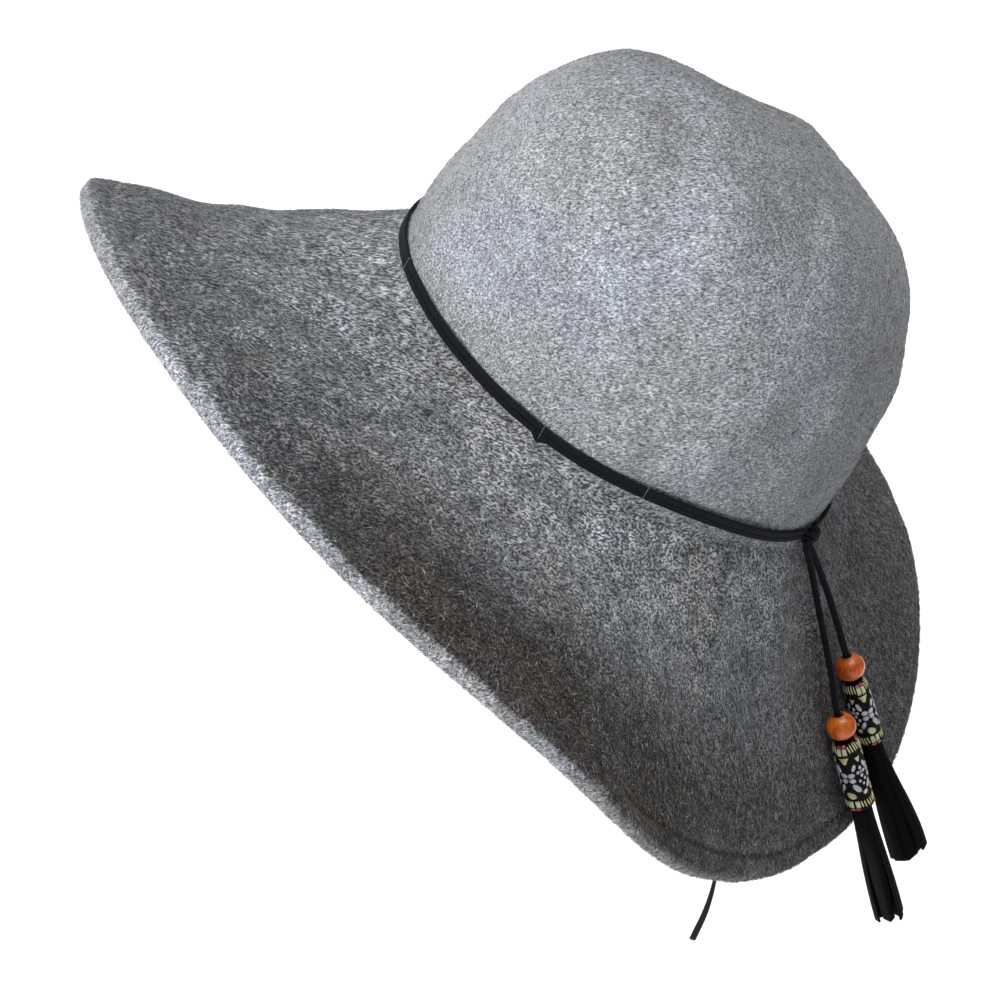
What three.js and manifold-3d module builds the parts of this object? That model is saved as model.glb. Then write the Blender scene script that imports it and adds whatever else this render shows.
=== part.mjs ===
// Floppy wool felt hat with a doubled suede lace band and two beaded tassel ties.
// Millimetres, +Z up. The origin is the middle of the head opening, on the line where crown meets brim.
// The wearer faces -Y and the wearer's left is +X. The hat leans back, and the ties hang plumb.
import * as THREE from 'three';
import Module from 'manifold-3d';
import { mergeVertices } from 'three/addons/utils/BufferGeometryUtils.js';

// Driving dimensions of the felt
const halfWidth = 90;
const halfLength = 96;
const crownHeight = 120;
const crownSquareness = 2.75;
const crownLean = -6;
const wall = 2.4;
const brimWidth = 122;
const wearingTilt = 33.5;

// The brim turns out of the crown in a soft bend, and its edge rolls down into a double hem
const bendLength = 5;
const rollWidth = 28;
const rollSlope = 32;
const hemWidth = 11;
const hemThickness = 4.6;
const hemStep = 3;

// Slope of the brim below the band, in degrees, beside the band and at the edge, and its width there.
// Around is counted in degrees from the back over the wearer's left.
const brimSections = [
  { around: 0, atBand: 41, atEdge: 31, width: 126 },
  { around: 30, atBand: 54, atEdge: 40, width: 129 },
  { around: 60, atBand: 44, atEdge: 36, width: 126 },
  { around: 90, atBand: 21, atEdge: 16, width: 122 },
  { around: 120, atBand: 13, atEdge: 8, width: 122 },
  { around: 150, atBand: 17, atEdge: 1, width: 122 },
  { around: 180, atBand: 30, atEdge: 5, width: 122 },
  { around: 210, atBand: 46, atEdge: 33, width: 122 },
  { around: 240, atBand: 41, atEdge: 42, width: 122 },
  { around: 270, atBand: 26, atEdge: 28, width: 122 },
  { around: 300, atBand: 11, atEdge: 12, width: 122 },
  { around: 330, atBand: 17, atEdge: 20, width: 124 },
];

// Soft dents of the crown, seen from a point a third of the way up inside it
const dentCentre = new THREE.Vector3(0, 0, 0.35 * crownHeight);
const crownDents = [
  { around: 245, up: 58, depth: 9.5, spread: 23 },
  { around: 336, up: 61, depth: 6.5, spread: 22 },
];
const dentFade = 0.2;

// Mesh of the felt: columns round the hat, rows up the crown and out along the brim
const feltColumns = 60;
const crownRows = 11;
const brimRows = [2, 4, 8, 17, 29, 41, 54, 67, 79, 89, 97, 104, 111, 117, 122];
const edgeRows = 3;
const brimStep = 0.5;

// Suede lace of the band, in two turns, one above the other
const laceHeight = 2.2;
const laceThickness = 1.4;
const laceRounding = 0.3;
const laceHeights = { lower: 1.8, upper: 4.3 };
const bandSteps = 48;
const gap = 0.3;
const bandGap = 0.5;

// Where the band rides up the crown a little: middle and half width of each rise in degrees around, and its height
const bandRises = [
  { around: 71, reach: 41, height: 3.3 },
  { around: 160, reach: 45, height: 1 },
];

// Knot, at the back on the wearer's left
const knotAround = 30;
const knotHeight = 3;
const knotGap = 0.4;
const knotHalf = { along: 4.6, up: 4.2, out: 2.7 };

// Hanging laces and what is threaded on each, measured down from the middle of the bead
const laceDiameter = 2.6;
const beadDiameter = 11.7;
const beadLength = 11.2;
const beadHole = 3.4;
const beadSides = 14;
const beadBands = 8;
const sleeveDiameter = 11.8;
const sleeveBore = 7;
const sleeveLength = 28.4;
const sleeveRounding = { across: 0.7, along: 0.9 };
const sleeveSides = 16;
const coreDiameter = 6.3;
const coreSides = 10;
const coreBelowSleeve = 3;
const coreDrop = 30;
const tasselDrop = 88.5;

// Each hanging lace, by hand: its route from the knot to the bead, the lean of its drop and the turn of its tassel.
// The lace reaches the bead along that lean, from a little above it.
const leadAboveBead = 0.75 * beadLength;
const hangingLaces = {
  left: {
    route: [[47.4, 71.2, -49.7], [46.4, 73.4, -59], [47.6, 77.4, -79], [52.4, 82.4, -103]],
    bead: [58, 86.6, -123.6],
    lean: [0.075, 0.25, -0.965],
    turn: 0.2,
  },
  right: {
    route: [[43.9, 72.4, -49.4], [39.6, 76.4, -62], [37.2, 81.8, -79], [37.6, 86.8, -96]],
    bead: [39, 90.6, -109.2],
    lean: [0.06, 0.28, -0.958],
    turn: 0.6,
  },
};

// Strips of a tassel, evenly spread round its core and sunk into it: length kept back from the full drop, and flare.
// Each starts inside the sleeve, flares by a share of its own flare at two levels below the sleeve, and twists.
const stripWidth = 3.3;
const stripThickness = 1.5;
const stripSink = 0.6;
const stripHold = 4;
const stripFlares = [{ level: 16, share: 0.45 }, { level: 36, share: 0.55 }];
const endFlare = 0.4;
const stripTwist = 0.06;
const stripSteps = 4;
const tasselStrips = [
  { shorter: 0, flare: 2.6 },
  { shorter: 4.5, flare: 3.4 },
  { shorter: 1.5, flare: 2.2 },
  { shorter: 6, flare: 3 },
  { shorter: 2.5, flare: 3.6 },
  { shorter: 0.8, flare: 2.4 },
  { shorter: 5, flare: 3.2 },
];

// Tie inside the head opening, sewn to the felt behind the wearer's left ear, by hand
const innerTieDiameter = 2.6;
const innerTieRoute = [
  [63.6, 54.8, -28.6],
  [62.5, 51.4, -36.8],
  [61.6, 49.6, -50],
  [60.8, 48.4, -78],
  [60.2, 46.8, -110],
  [60, 44.6, -150],
  [59.6, 41, -190],
  [58.4, 37.6, -209],
  [56.4, 32.4, -226],
];

const wasm = await Module();
wasm.setup();

const radians = THREE.MathUtils.degToRad;
const smooth = (value) => THREE.MathUtils.smoothstep(value, 0, 1);

// Finish of each kind of piece
const finishes = {
  felt: new THREE.MeshStandardMaterial({ color: 0x77797d, roughness: 0.95, metalness: 0 }),
  suede: new THREE.MeshStandardMaterial({ color: 0x15161a, roughness: 0.85, metalness: 0 }),
  wood: new THREE.MeshStandardMaterial({ color: 0xc24a14, roughness: 0.25, metalness: 0 }),
  woven: new THREE.MeshStandardMaterial({ color: 0x2a2a2c, roughness: 0.8, metalness: 0 }),
};

// Closed smooth curve through the brim's sections: x is the slope at the band, y at the edge, z the width
const sectionPoints = brimSections.map((row) => new THREE.Vector3(row.atBand, row.atEdge, row.width));
const sectionCurve = new THREE.CatmullRomCurve3(sectionPoints, true, 'catmullrom', 0.5);

// Point on the oval of the head opening, and the level direction straight out of it
function ovalPoint(around) {
  return new THREE.Vector3(halfWidth * Math.sin(around), halfLength * Math.cos(around), 0);
}

function ovalOutward(around) {
  return new THREE.Vector3(Math.sin(around) / halfWidth, Math.cos(around) / halfLength, 0).normalize();
}

function dentDepth(direction) {
  let depth = 0;
  for (const dent of crownDents) {
    const middle = new THREE.Vector3().setFromSphericalCoords(1, radians(90 - dent.up), radians(dent.around));
    const towards = new THREE.Vector3(middle.x, middle.z, middle.y);
    const away = THREE.MathUtils.radToDeg(direction.angleTo(towards)) / dent.spread;
    depth += dent.depth * Math.exp(-away * away);
  }
  return depth;
}

// Outer face of the crown: up runs from 0 at the band to 1 at the top
function crownPoint(around, up) {
  const angle = (up * Math.PI) / 2;
  const across = Math.max(Math.cos(angle), 0) ** (2 / crownSquareness);
  const rise = Math.sin(angle) ** (2 / crownSquareness);
  const point = ovalPoint(around).multiplyScalar(across);
  point.y += crownLean * rise;
  point.z = crownHeight * rise;
  const inward = point.clone().sub(dentCentre).normalize();
  const fade = Math.min(rise / dentFade, 1);
  return point.addScaledVector(inward, -dentDepth(inward) * fade);
}

// Slope of one section of the brim at a distance from the band, bend and rolled edge included
function brimSlope(section, along) {
  const even = THREE.MathUtils.lerp(section.x, section.y, along / section.z);
  const bend = (90 - even) * (1 - smooth(along / bendLength));
  const roll = rollSlope * smooth((along - section.z + rollWidth) / rollWidth);
  return radians(even + bend + roll);
}

// Outer face of one column of the brim; the rows stretch with its width
function brimColumn(around) {
  const section = sectionCurve.getPoint(around / (2 * Math.PI));
  const outward = ovalOutward(around);
  const point = ovalPoint(around);
  const step = (brimStep * section.z) / brimWidth;
  const column = [];
  let steps = 0;
  for (const row of brimRows) {
    for (; steps < row / brimStep; steps += 1) {
      const slope = brimSlope(section, (steps + 0.5) * step);
      point.addScaledVector(outward, Math.cos(slope) * step);
      point.z -= Math.sin(slope) * step;
    }
    column.push(point.clone());
  }
  return column;
}

// Triangles between neighbouring rings of the felt, closed over one pole at each end
function ringMesh(rings, firstPole, lastPole) {
  const columns = rings[0].length;
  const points = [firstPole, ...rings.flat(), lastPole];
  const triangles = [];
  const place = (ring, column) => 1 + ring * columns + (column % columns);
  for (let column = 0; column < columns; column += 1) {
    triangles.push(0, place(0, column), place(0, column + 1));
    for (let ring = 0; ring + 1 < rings.length; ring += 1) {
      const corner = place(ring, column);
      const next = place(ring, column + 1);
      const below = place(ring + 1, column);
      const belowNext = place(ring + 1, column + 1);
      triangles.push(corner, below, belowNext, corner, belowNext, next);
    }
    const last = rings.length - 1;
    triangles.push(points.length - 1, place(last, column + 1), place(last, column));
  }
  const geometry = new THREE.BufferGeometry();
  geometry.setAttribute('position', new THREE.Float32BufferAttribute(points.flatMap((p) => [p.x, p.y, p.z]), 3));
  geometry.setIndex(triangles);
  geometry.computeVertexNormals();
  return geometry;
}

function vectorsOf(attribute) {
  const vectors = [];
  for (let index = 0; index < attribute.count; index += 1) {
    vectors.push(new THREE.Vector3().fromBufferAttribute(attribute, index));
  }
  return vectors;
}

// Felt thickness at a row: single over the crown and brim, double in the hem
function thicknessAt(along) {
  const step = smooth((along - brimWidth + hemWidth + hemStep) / hemStep);
  return THREE.MathUtils.lerp(wall, hemThickness, step);
}

// Crown and brim in one blocked felt, hollow and open below
function feltGeometry() {
  const rings = [];
  const distances = [];
  for (let row = crownRows - 1; row >= 0; row -= 1) {
    rings.push([]);
    distances.push(0);
  }
  for (const along of brimRows) {
    rings.push([]);
    distances.push(along);
  }
  for (let column = 0; column < feltColumns; column += 1) {
    const around = -(column / feltColumns) * 2 * Math.PI;
    const turn = around + 2 * Math.PI;
    for (let row = 0; row < crownRows; row += 1) {
      rings[row].push(crownPoint(turn, (crownRows - 1 - row) / crownRows));
    }
    brimColumn(turn).forEach((point, row) => rings[crownRows + row].push(point));
  }
  const top = crownPoint(0, 1);
  const skin = ringMesh(rings, top, new THREE.Vector3(0, 0, rings.at(-1)[0].z));
  const normals = vectorsOf(skin.getAttribute('normal'));
  const under = rings.map((ring, row) => ring.map((point, column) => {
    const normal = normals[1 + row * feltColumns + column];
    return point.clone().addScaledVector(normal, -thicknessAt(distances[row]));
  }));

  // The last ring's own normal leans over, so the hem is set from the ring before it
  const lastRow = rings.length - 1;
  const edge = [];
  for (let step = 1; step <= edgeRows; step += 1) {
    edge.push([]);
  }
  for (let column = 0; column < feltColumns; column += 1) {
    const outer = rings[lastRow][column];
    const outward = outer.clone().sub(rings[lastRow - 1][column]).normalize();
    const upward = normals[1 + (lastRow - 1) * feltColumns + column].clone();
    upward.addScaledVector(outward, -upward.dot(outward)).normalize();
    under[lastRow][column].copy(outer).addScaledVector(upward, -hemThickness);
    for (let step = 1; step <= edgeRows; step += 1) {
      const angle = (step / (edgeRows + 1)) * Math.PI;
      const point = outer.clone().addScaledVector(upward, -hemThickness / 2);
      point.addScaledVector(upward, (Math.cos(angle) * hemThickness) / 2);
      point.addScaledVector(outward, (Math.sin(angle) * hemThickness) / 2);
      edge[step - 1].push(point);
    }
  }
  const inside = top.clone();
  inside.z -= wall;
  return ringMesh([...rings, ...edge, ...under.reverse()], top, inside);
}

// Height that the band rides up at one place round the crown
function bandRise(around) {
  let rise = 0;
  for (const hump of bandRises) {
    const away = Math.abs(THREE.MathUtils.radToDeg(around) - hump.around) / hump.reach;
    rise += away < 1 ? hump.height * Math.cos((away * Math.PI) / 2) ** 2 : 0;
  }
  return rise;
}

// Way of a lace round the crown, from one side of the knot to the other
class BandPath extends THREE.Curve {
  constructor(height) {
    super();
    this.height = height;
    this.clear = (knotHalf.along + gap) / halfLength;
  }

  getPoint(fraction, target = new THREE.Vector3()) {
    const start = radians(knotAround) + this.clear;
    const around = start + fraction * 2 * (Math.PI - this.clear);
    target.copy(ovalPoint(around));
    target.addScaledVector(ovalOutward(around), bandGap + laceThickness / 2);
    target.z = this.height + bandRise(around);
    target.y += (crownLean * target.z) / crownHeight;
    return target;
  }
}

function roundedBar(width, height) {
  const corner = Math.min(width, height) * laceRounding;
  const x = width / 2;
  const y = height / 2;
  return new THREE.Shape([
    new THREE.Vector2(x, -y + corner),
    new THREE.Vector2(x, y - corner),
    new THREE.Vector2(x - corner, y),
    new THREE.Vector2(-x + corner, y),
    new THREE.Vector2(-x, y - corner),
    new THREE.Vector2(-x, -y + corner),
    new THREE.Vector2(-x + corner, -y),
    new THREE.Vector2(x - corner, -y),
  ]);
}

function bandLaceGeometry(height) {
  const section = roundedBar(laceHeight, laceThickness);
  return new THREE.ExtrudeGeometry(section, { steps: bandSteps, extrudePath: new BandPath(height) });
}

function knotGeometry() {
  const geometry = new THREE.SphereGeometry(1, 14, 8);
  geometry.scale(knotHalf.along, knotHalf.out, knotHalf.up);
  return geometry;
}

// Round cord along a curve, with an eight-sided section
function cordGeometry(curve, diameter, steps) {
  const section = new THREE.Shape();
  for (let side = 0; side < 8; side += 1) {
    const angle = (side / 8) * 2 * Math.PI;
    const corner = [(diameter / 2) * Math.cos(angle), (diameter / 2) * Math.sin(angle)];
    if (side === 0) {
      section.moveTo(...corner);
    } else {
      section.lineTo(...corner);
    }
  }
  return new THREE.ExtrudeGeometry(section, { steps, extrudePath: curve });
}

function curveThrough(points) {
  return new THREE.CatmullRomCurve3(points.map((point) => new THREE.Vector3(...point)));
}

// Turned piece with a straight hole: an outline of radius and height, closed on itself
function turned(outline, sides) {
  const points = outline.map(([radius, height]) => new THREE.Vector2(radius, height));
  points.push(points[0].clone());
  const geometry = new THREE.LatheGeometry(points, sides);
  geometry.rotateX(Math.PI / 2);
  return geometry;
}

function beadGeometry() {
  const outline = [];
  const bottom = Math.asin(beadHole / beadDiameter);
  for (let step = 0; step <= beadBands; step += 1) {
    const angle = THREE.MathUtils.lerp(bottom, Math.PI - bottom, step / beadBands);
    const height = (-Math.cos(angle) / Math.cos(bottom)) * (beadLength / 2);
    outline.push([(beadDiameter / 2) * Math.sin(angle), height]);
  }
  return turned(outline, beadSides);
}

function sleeveGeometry() {
  const outside = sleeveDiameter / 2;
  const inside = sleeveBore / 2;
  const half = sleeveLength / 2;
  return turned([
    [inside, -half],
    [outside - sleeveRounding.across, -half],
    [outside, -half + sleeveRounding.along],
    [outside, half - sleeveRounding.along],
    [outside - sleeveRounding.across, half],
    [inside, half],
  ], sleeveSides);
}

function toManifold(geometry) {
  const bare = geometry.clone();
  bare.deleteAttribute('normal');
  bare.deleteAttribute('uv');
  const merged = mergeVertices(bare, 1e-3);
  const vertProperties = new Float32Array(merged.getAttribute('position').array);
  const triVerts = new Uint32Array(merged.getIndex().array);
  return new wasm.Manifold(new wasm.Mesh({ numProp: 3, vertProperties, triVerts }));
}

function fromManifold(solid) {
  const mesh = solid.getMesh();
  const geometry = new THREE.BufferGeometry();
  geometry.setAttribute('position', new THREE.Float32BufferAttribute(mesh.vertProperties, 3));
  geometry.setIndex([...mesh.triVerts]);
  geometry.computeVertexNormals();
  return geometry;
}

// Suede strips fused to the core that the sleeve holds; the top of the core is at height zero
function tasselGeometry(firstAngle) {
  const sleeveEnd = beadLength / 2 + gap + sleeveLength - coreDrop;
  const coreLength = sleeveEnd + coreBelowSleeve;
  const core = new THREE.CylinderGeometry(coreDiameter / 2, coreDiameter / 2, coreLength, coreSides);
  core.rotateX(Math.PI / 2);
  core.translate(0, 0, -coreLength / 2);
  let solid = toManifold(core);
  tasselStrips.forEach((strip, index) => {
    const angle = firstAngle + (index / tasselStrips.length) * 2 * Math.PI;
    const reach = (coreDiameter - stripThickness) / 2 - stripSink;
    const places = [
      { level: sleeveEnd - stripHold, radius: reach },
      { level: sleeveEnd, radius: reach },
      ...stripFlares.map(({ level, share }) => (
        { level: sleeveEnd + level, radius: reach + share * strip.flare }
      )),
      { level: tasselDrop - coreDrop - strip.shorter, radius: reach + endFlare * strip.flare },
    ];
    const path = curveThrough(places.map(({ level, radius }, row) => {
      const twist = angle + row * stripTwist;
      return [radius * Math.cos(twist), radius * Math.sin(twist), -level];
    }));
    const section = new THREE.Shape([
      new THREE.Vector2(-stripThickness / 2, -stripWidth / 2),
      new THREE.Vector2(stripThickness / 2, -stripWidth / 2),
      new THREE.Vector2(stripThickness / 2, stripWidth / 2),
      new THREE.Vector2(-stripThickness / 2, stripWidth / 2),
    ]);
    const facing = new FacingPath(path, angle);
    const ribbon = new THREE.ExtrudeGeometry(section, { steps: stripSteps, extrudePath: facing });
    solid = solid.add(toManifold(ribbon));
  });
  return fromManifold(solid);
}

// A path whose section keeps one face turned away from the tassel's middle
class FacingPath extends THREE.Curve {
  constructor(path, angle) {
    super();
    this.path = path;
    this.outward = new THREE.Vector3(Math.cos(angle), Math.sin(angle), 0);
  }

  getPoint(fraction, target = new THREE.Vector3()) {
    return this.path.getPoint(fraction, target);
  }

  computeFrenetFrames(segments) {
    const tangents = [];
    const normals = [];
    const binormals = [];
    for (let step = 0; step <= segments; step += 1) {
      const tangent = this.getTangentAt(step / segments);
      const normal = this.outward.clone().addScaledVector(tangent, -this.outward.dot(tangent)).normalize();
      tangents.push(tangent);
      normals.push(normal);
      binormals.push(new THREE.Vector3().crossVectors(tangent, normal));
    }
    return { tangents, normals, binormals };
  }
}

const part = new THREE.Group();
const hat = new THREE.Group();
hat.rotation.x = -radians(wearingTilt);
part.add(hat);

function addMesh(parent, name, geometry, finish) {
  const mesh = new THREE.Mesh(geometry, finish);
  mesh.name = name;
  parent.add(mesh);
  return mesh;
}

addMesh(hat, 'felt_body', feltGeometry(), finishes.felt);
addMesh(hat, 'band_lace_upper', bandLaceGeometry(laceHeights.upper), finishes.suede);
addMesh(hat, 'band_lace_lower', bandLaceGeometry(laceHeights.lower), finishes.suede);

const knotTurn = radians(knotAround);
const knot = addMesh(hat, 'band_knot', knotGeometry(), finishes.suede);
knot.position.copy(ovalPoint(knotTurn)).addScaledVector(ovalOutward(knotTurn), knotGap + knotHalf.out);
knot.position.z = knotHeight;
knot.rotation.z = Math.atan2(ovalOutward(knotTurn).y, ovalOutward(knotTurn).x) - Math.PI / 2;

// The two ties: lace, bead, sleeve and tassel, each drop a group that hangs from its bead's middle
for (const [side, tie] of Object.entries(hangingLaces)) {
  const bead = new THREE.Vector3(...tie.bead);
  const lean = new THREE.Vector3(...tie.lean).normalize();
  const laceInto = bead.clone().addScaledVector(lean, -leadAboveBead);
  const laceEnd = bead.clone().addScaledVector(lean, coreDrop - gap);
  const lace = curveThrough([...tie.route, laceInto.toArray(), tie.bead, laceEnd.toArray()]);
  addMesh(part, `lace_end_${side}`, cordGeometry(lace, laceDiameter, 16), finishes.suede);

  const drop = new THREE.Group();
  drop.position.copy(bead);
  drop.quaternion.setFromUnitVectors(new THREE.Vector3(0, 0, -1), lean);
  part.add(drop);
  addMesh(drop, `wood_bead_${side}`, beadGeometry(), finishes.wood);
  const sleeve = addMesh(drop, `sleeve_${side}`, sleeveGeometry(), finishes.woven);
  sleeve.position.z = -(beadLength / 2 + gap + sleeveLength / 2);
  const tassel = addMesh(drop, `tassel_${side}`, tasselGeometry(tie.turn), finishes.suede);
  tassel.position.z = -coreDrop;
}

addMesh(part, 'inner_tie', cordGeometry(curveThrough(innerTieRoute), innerTieDiameter, 24), finishes.suede);

export default part;
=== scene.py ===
"""Floppy wool felt hat with a doubled suede lace band and two beaded tassel ties."""

import math

import bmesh
import bpy
import numpy as np
from mathutils import Matrix, Vector


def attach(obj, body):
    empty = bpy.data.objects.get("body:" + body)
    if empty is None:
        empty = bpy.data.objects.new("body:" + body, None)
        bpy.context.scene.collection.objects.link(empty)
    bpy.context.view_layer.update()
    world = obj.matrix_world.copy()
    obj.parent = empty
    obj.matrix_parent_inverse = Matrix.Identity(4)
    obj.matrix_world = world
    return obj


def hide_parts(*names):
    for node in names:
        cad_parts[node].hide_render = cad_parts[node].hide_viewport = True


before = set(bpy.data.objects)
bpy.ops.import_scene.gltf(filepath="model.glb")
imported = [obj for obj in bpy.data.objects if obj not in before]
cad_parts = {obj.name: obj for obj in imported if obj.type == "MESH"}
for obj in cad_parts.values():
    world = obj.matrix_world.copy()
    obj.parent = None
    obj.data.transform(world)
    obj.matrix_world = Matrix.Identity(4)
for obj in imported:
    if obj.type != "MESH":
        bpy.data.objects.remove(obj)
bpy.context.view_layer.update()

MM = 0.001

# Sizes of the felt in millimetres, as in the part's source
HALF_WIDTH, HALF_LENGTH = 90.0, 96.0
CROWN_HEIGHT, CROWN_SQUARENESS, CROWN_LEAN = 120.0, 2.75, -6.0
WALL = 2.4
BRIM_WIDTH = 122.0
WEARING_TILT = math.radians(33.5)
BEND_LENGTH = 5.0

# The hem turns down at its seam and again at its lip, by degrees. A little more width, and a lean of the
# outer brim, keep the edge in its place.
HEM_WIDTH, HEM_THICKNESS = 11.0, 4.6
SEAM_SLOPE, SEAM_TURN = 8.0, 2.5
LIP_SLOPE, LIP_WIDTH, LIP_FLAT = 52.0, 5.0, 1.6
OUTER_LEAN, LEAN_WIDTH, SPARE_WIDTH = 5.5, 70.0, 0.5
GAP, BAND_GAP = 0.3, 0.5

# Slope of the brim at the band and at the edge, and its width, every thirty degrees from the back
BRIM_SECTIONS = [
    (41, 31, 126), (54, 40, 129), (44, 36, 126), (21, 16, 122),
    (13, 8, 122), (17, 1, 122), (30, 5, 122), (46, 33, 122),
    (41, 42, 122), (26, 28, 122), (11, 12, 122), (17, 20, 124),
]

# Dents of the crown: around, up, depth, spread
CROWN_DENTS = [(245, 58, 9.5, 23), (336, 61, 6.5, 22)]
DENT_CENTRE = np.array([0.0, 0.0, 0.35 * CROWN_HEIGHT])

LACE_HEIGHT, LACE_THICKNESS = 2.2, 1.4
LACE_HEIGHTS = {"lower": 1.8, "upper": 4.3}
BAND_RISES = [(71, 41, 3.3), (160, 45, 1.0)]
KNOT_AROUND, KNOT_HEIGHT = math.radians(30), 3.0
KNOT_ALONG, KNOT_OUT = 4.6, 2.7

LACE_DIAMETER = 2.6
BEAD_DIAMETER, BEAD_LENGTH, BEAD_HOLE = 11.7, 11.2, 3.4
BEAD_WIDER, BEAD_FLATTER = 1.02, 0.93
SLEEVE_DIAMETER, SLEEVE_LENGTH = 11.8, 28.4
CORE_DROP, TASSEL_DROP = 30.0, 88.5

# Each tie's route, bead and lean, its sleeve's length, flatness and turn of the pattern in degrees, its
# tassel's spread and drift to one side, and its seed
TIES = {
    "left": {
        "route": [[47.4, 71.2, -49.7], [46.4, 73.4, -59], [47.6, 77.4, -79], [52.4, 82.4, -103]],
        "bead": [58, 86.6, -123.6],
        "lean": [0.075, 0.25, -0.965],
        "sleeve": 29.6, "flat": 0.95, "pattern_turn": -31, "fan": 0.2, "shift": 0.1, "seed": 1,
    },
    "right": {
        "route": [[43.9, 72.4, -49.4], [39.6, 76.4, -62], [37.2, 81.8, -79], [37.6, 86.8, -96]],
        "bead": [39, 90.6, -109.2],
        "lean": [0.06, 0.28, -0.958],
        "sleeve": 27.6, "flat": 0.88, "pattern_turn": 16, "fan": 0.6, "shift": 2.2, "seed": 2,
    },
}
INNER_TIE_ROUTE = [
    [63.6, 54.8, -28.6], [62.5, 51.4, -36.8], [61.6, 49.6, -50], [60.8, 48.4, -78],
    [60.2, 46.8, -110], [60, 44.6, -150], [59.6, 41, -190], [58.4, 37.6, -209], [56.4, 32.4, -226],
]


# Small helpers

def smooth(value):
    value = np.clip(value, 0, 1)
    return value * value * (3 - 2 * value)


def unit(vectors):
    return vectors / np.maximum(np.linalg.norm(vectors, axis=-1, keepdims=True), 1e-12)


def to_world(points):
    """Hat coordinates in millimetres to the frame in metres."""
    points = np.asarray(points, float)
    cos, sin = math.cos(WEARING_TILT), math.sin(WEARING_TILT)
    x, y, z = points[..., 0], points[..., 1], points[..., 2]
    return np.stack([x, y * cos + z * sin, -y * sin + z * cos], -1) * MM


HAT_TO_WORLD = Matrix.Scale(MM, 4) @ Matrix.Rotation(-WEARING_TILT, 4, "X")


def soft_noise(points, wavelength, seed, waves=28):
    """Smooth noise of about unit size from seeded plane waves."""
    draw = np.random.default_rng(seed)
    total = np.zeros(points.shape[:-1])
    for _ in range(waves):
        direction = unit(draw.normal(size=3))
        length = wavelength * draw.uniform(0.7, 1.5)
        total += np.sin(points @ direction * (2 * math.pi / length) + draw.uniform(0, 2 * math.pi))
    return total / math.sqrt(waves / 2)


# Camera, at the angle of the photograph

CAMERA_ELEVATION = math.radians(31.5)
CAMERA_DISTANCE = 1.7
FOCAL_PIXELS = 4505.0
FRAME_PIXELS = 1000.0
ORIGIN_PIXEL = (614.5, 368.5)
SENSOR_MM = 36.0


def add_camera():
    sin, cos = math.sin(CAMERA_ELEVATION), math.cos(CAMERA_ELEVATION)
    right, up, back = Vector((0, 1, 0)), Vector((-sin, 0, cos)), Vector((cos, 0, sin))
    across = (ORIGIN_PIXEL[0] - FRAME_PIXELS / 2) / FOCAL_PIXELS * CAMERA_DISTANCE
    above = (FRAME_PIXELS / 2 - ORIGIN_PIXEL[1]) / FOCAL_PIXELS * CAMERA_DISTANCE
    place = back * CAMERA_DISTANCE - right * across - up * above
    data = bpy.data.cameras.new("camera")
    data.sensor_width = SENSOR_MM
    data.lens = FOCAL_PIXELS / FRAME_PIXELS * SENSOR_MM
    data.clip_end = 50
    camera = bpy.data.objects.new("camera", data)
    axes = Matrix((right, up, back)).transposed().to_4x4()
    camera.matrix_world = Matrix.Translation(place) @ axes
    bpy.context.scene.collection.objects.link(camera)
    bpy.context.scene.camera = camera


add_camera()


# Materials

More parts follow.
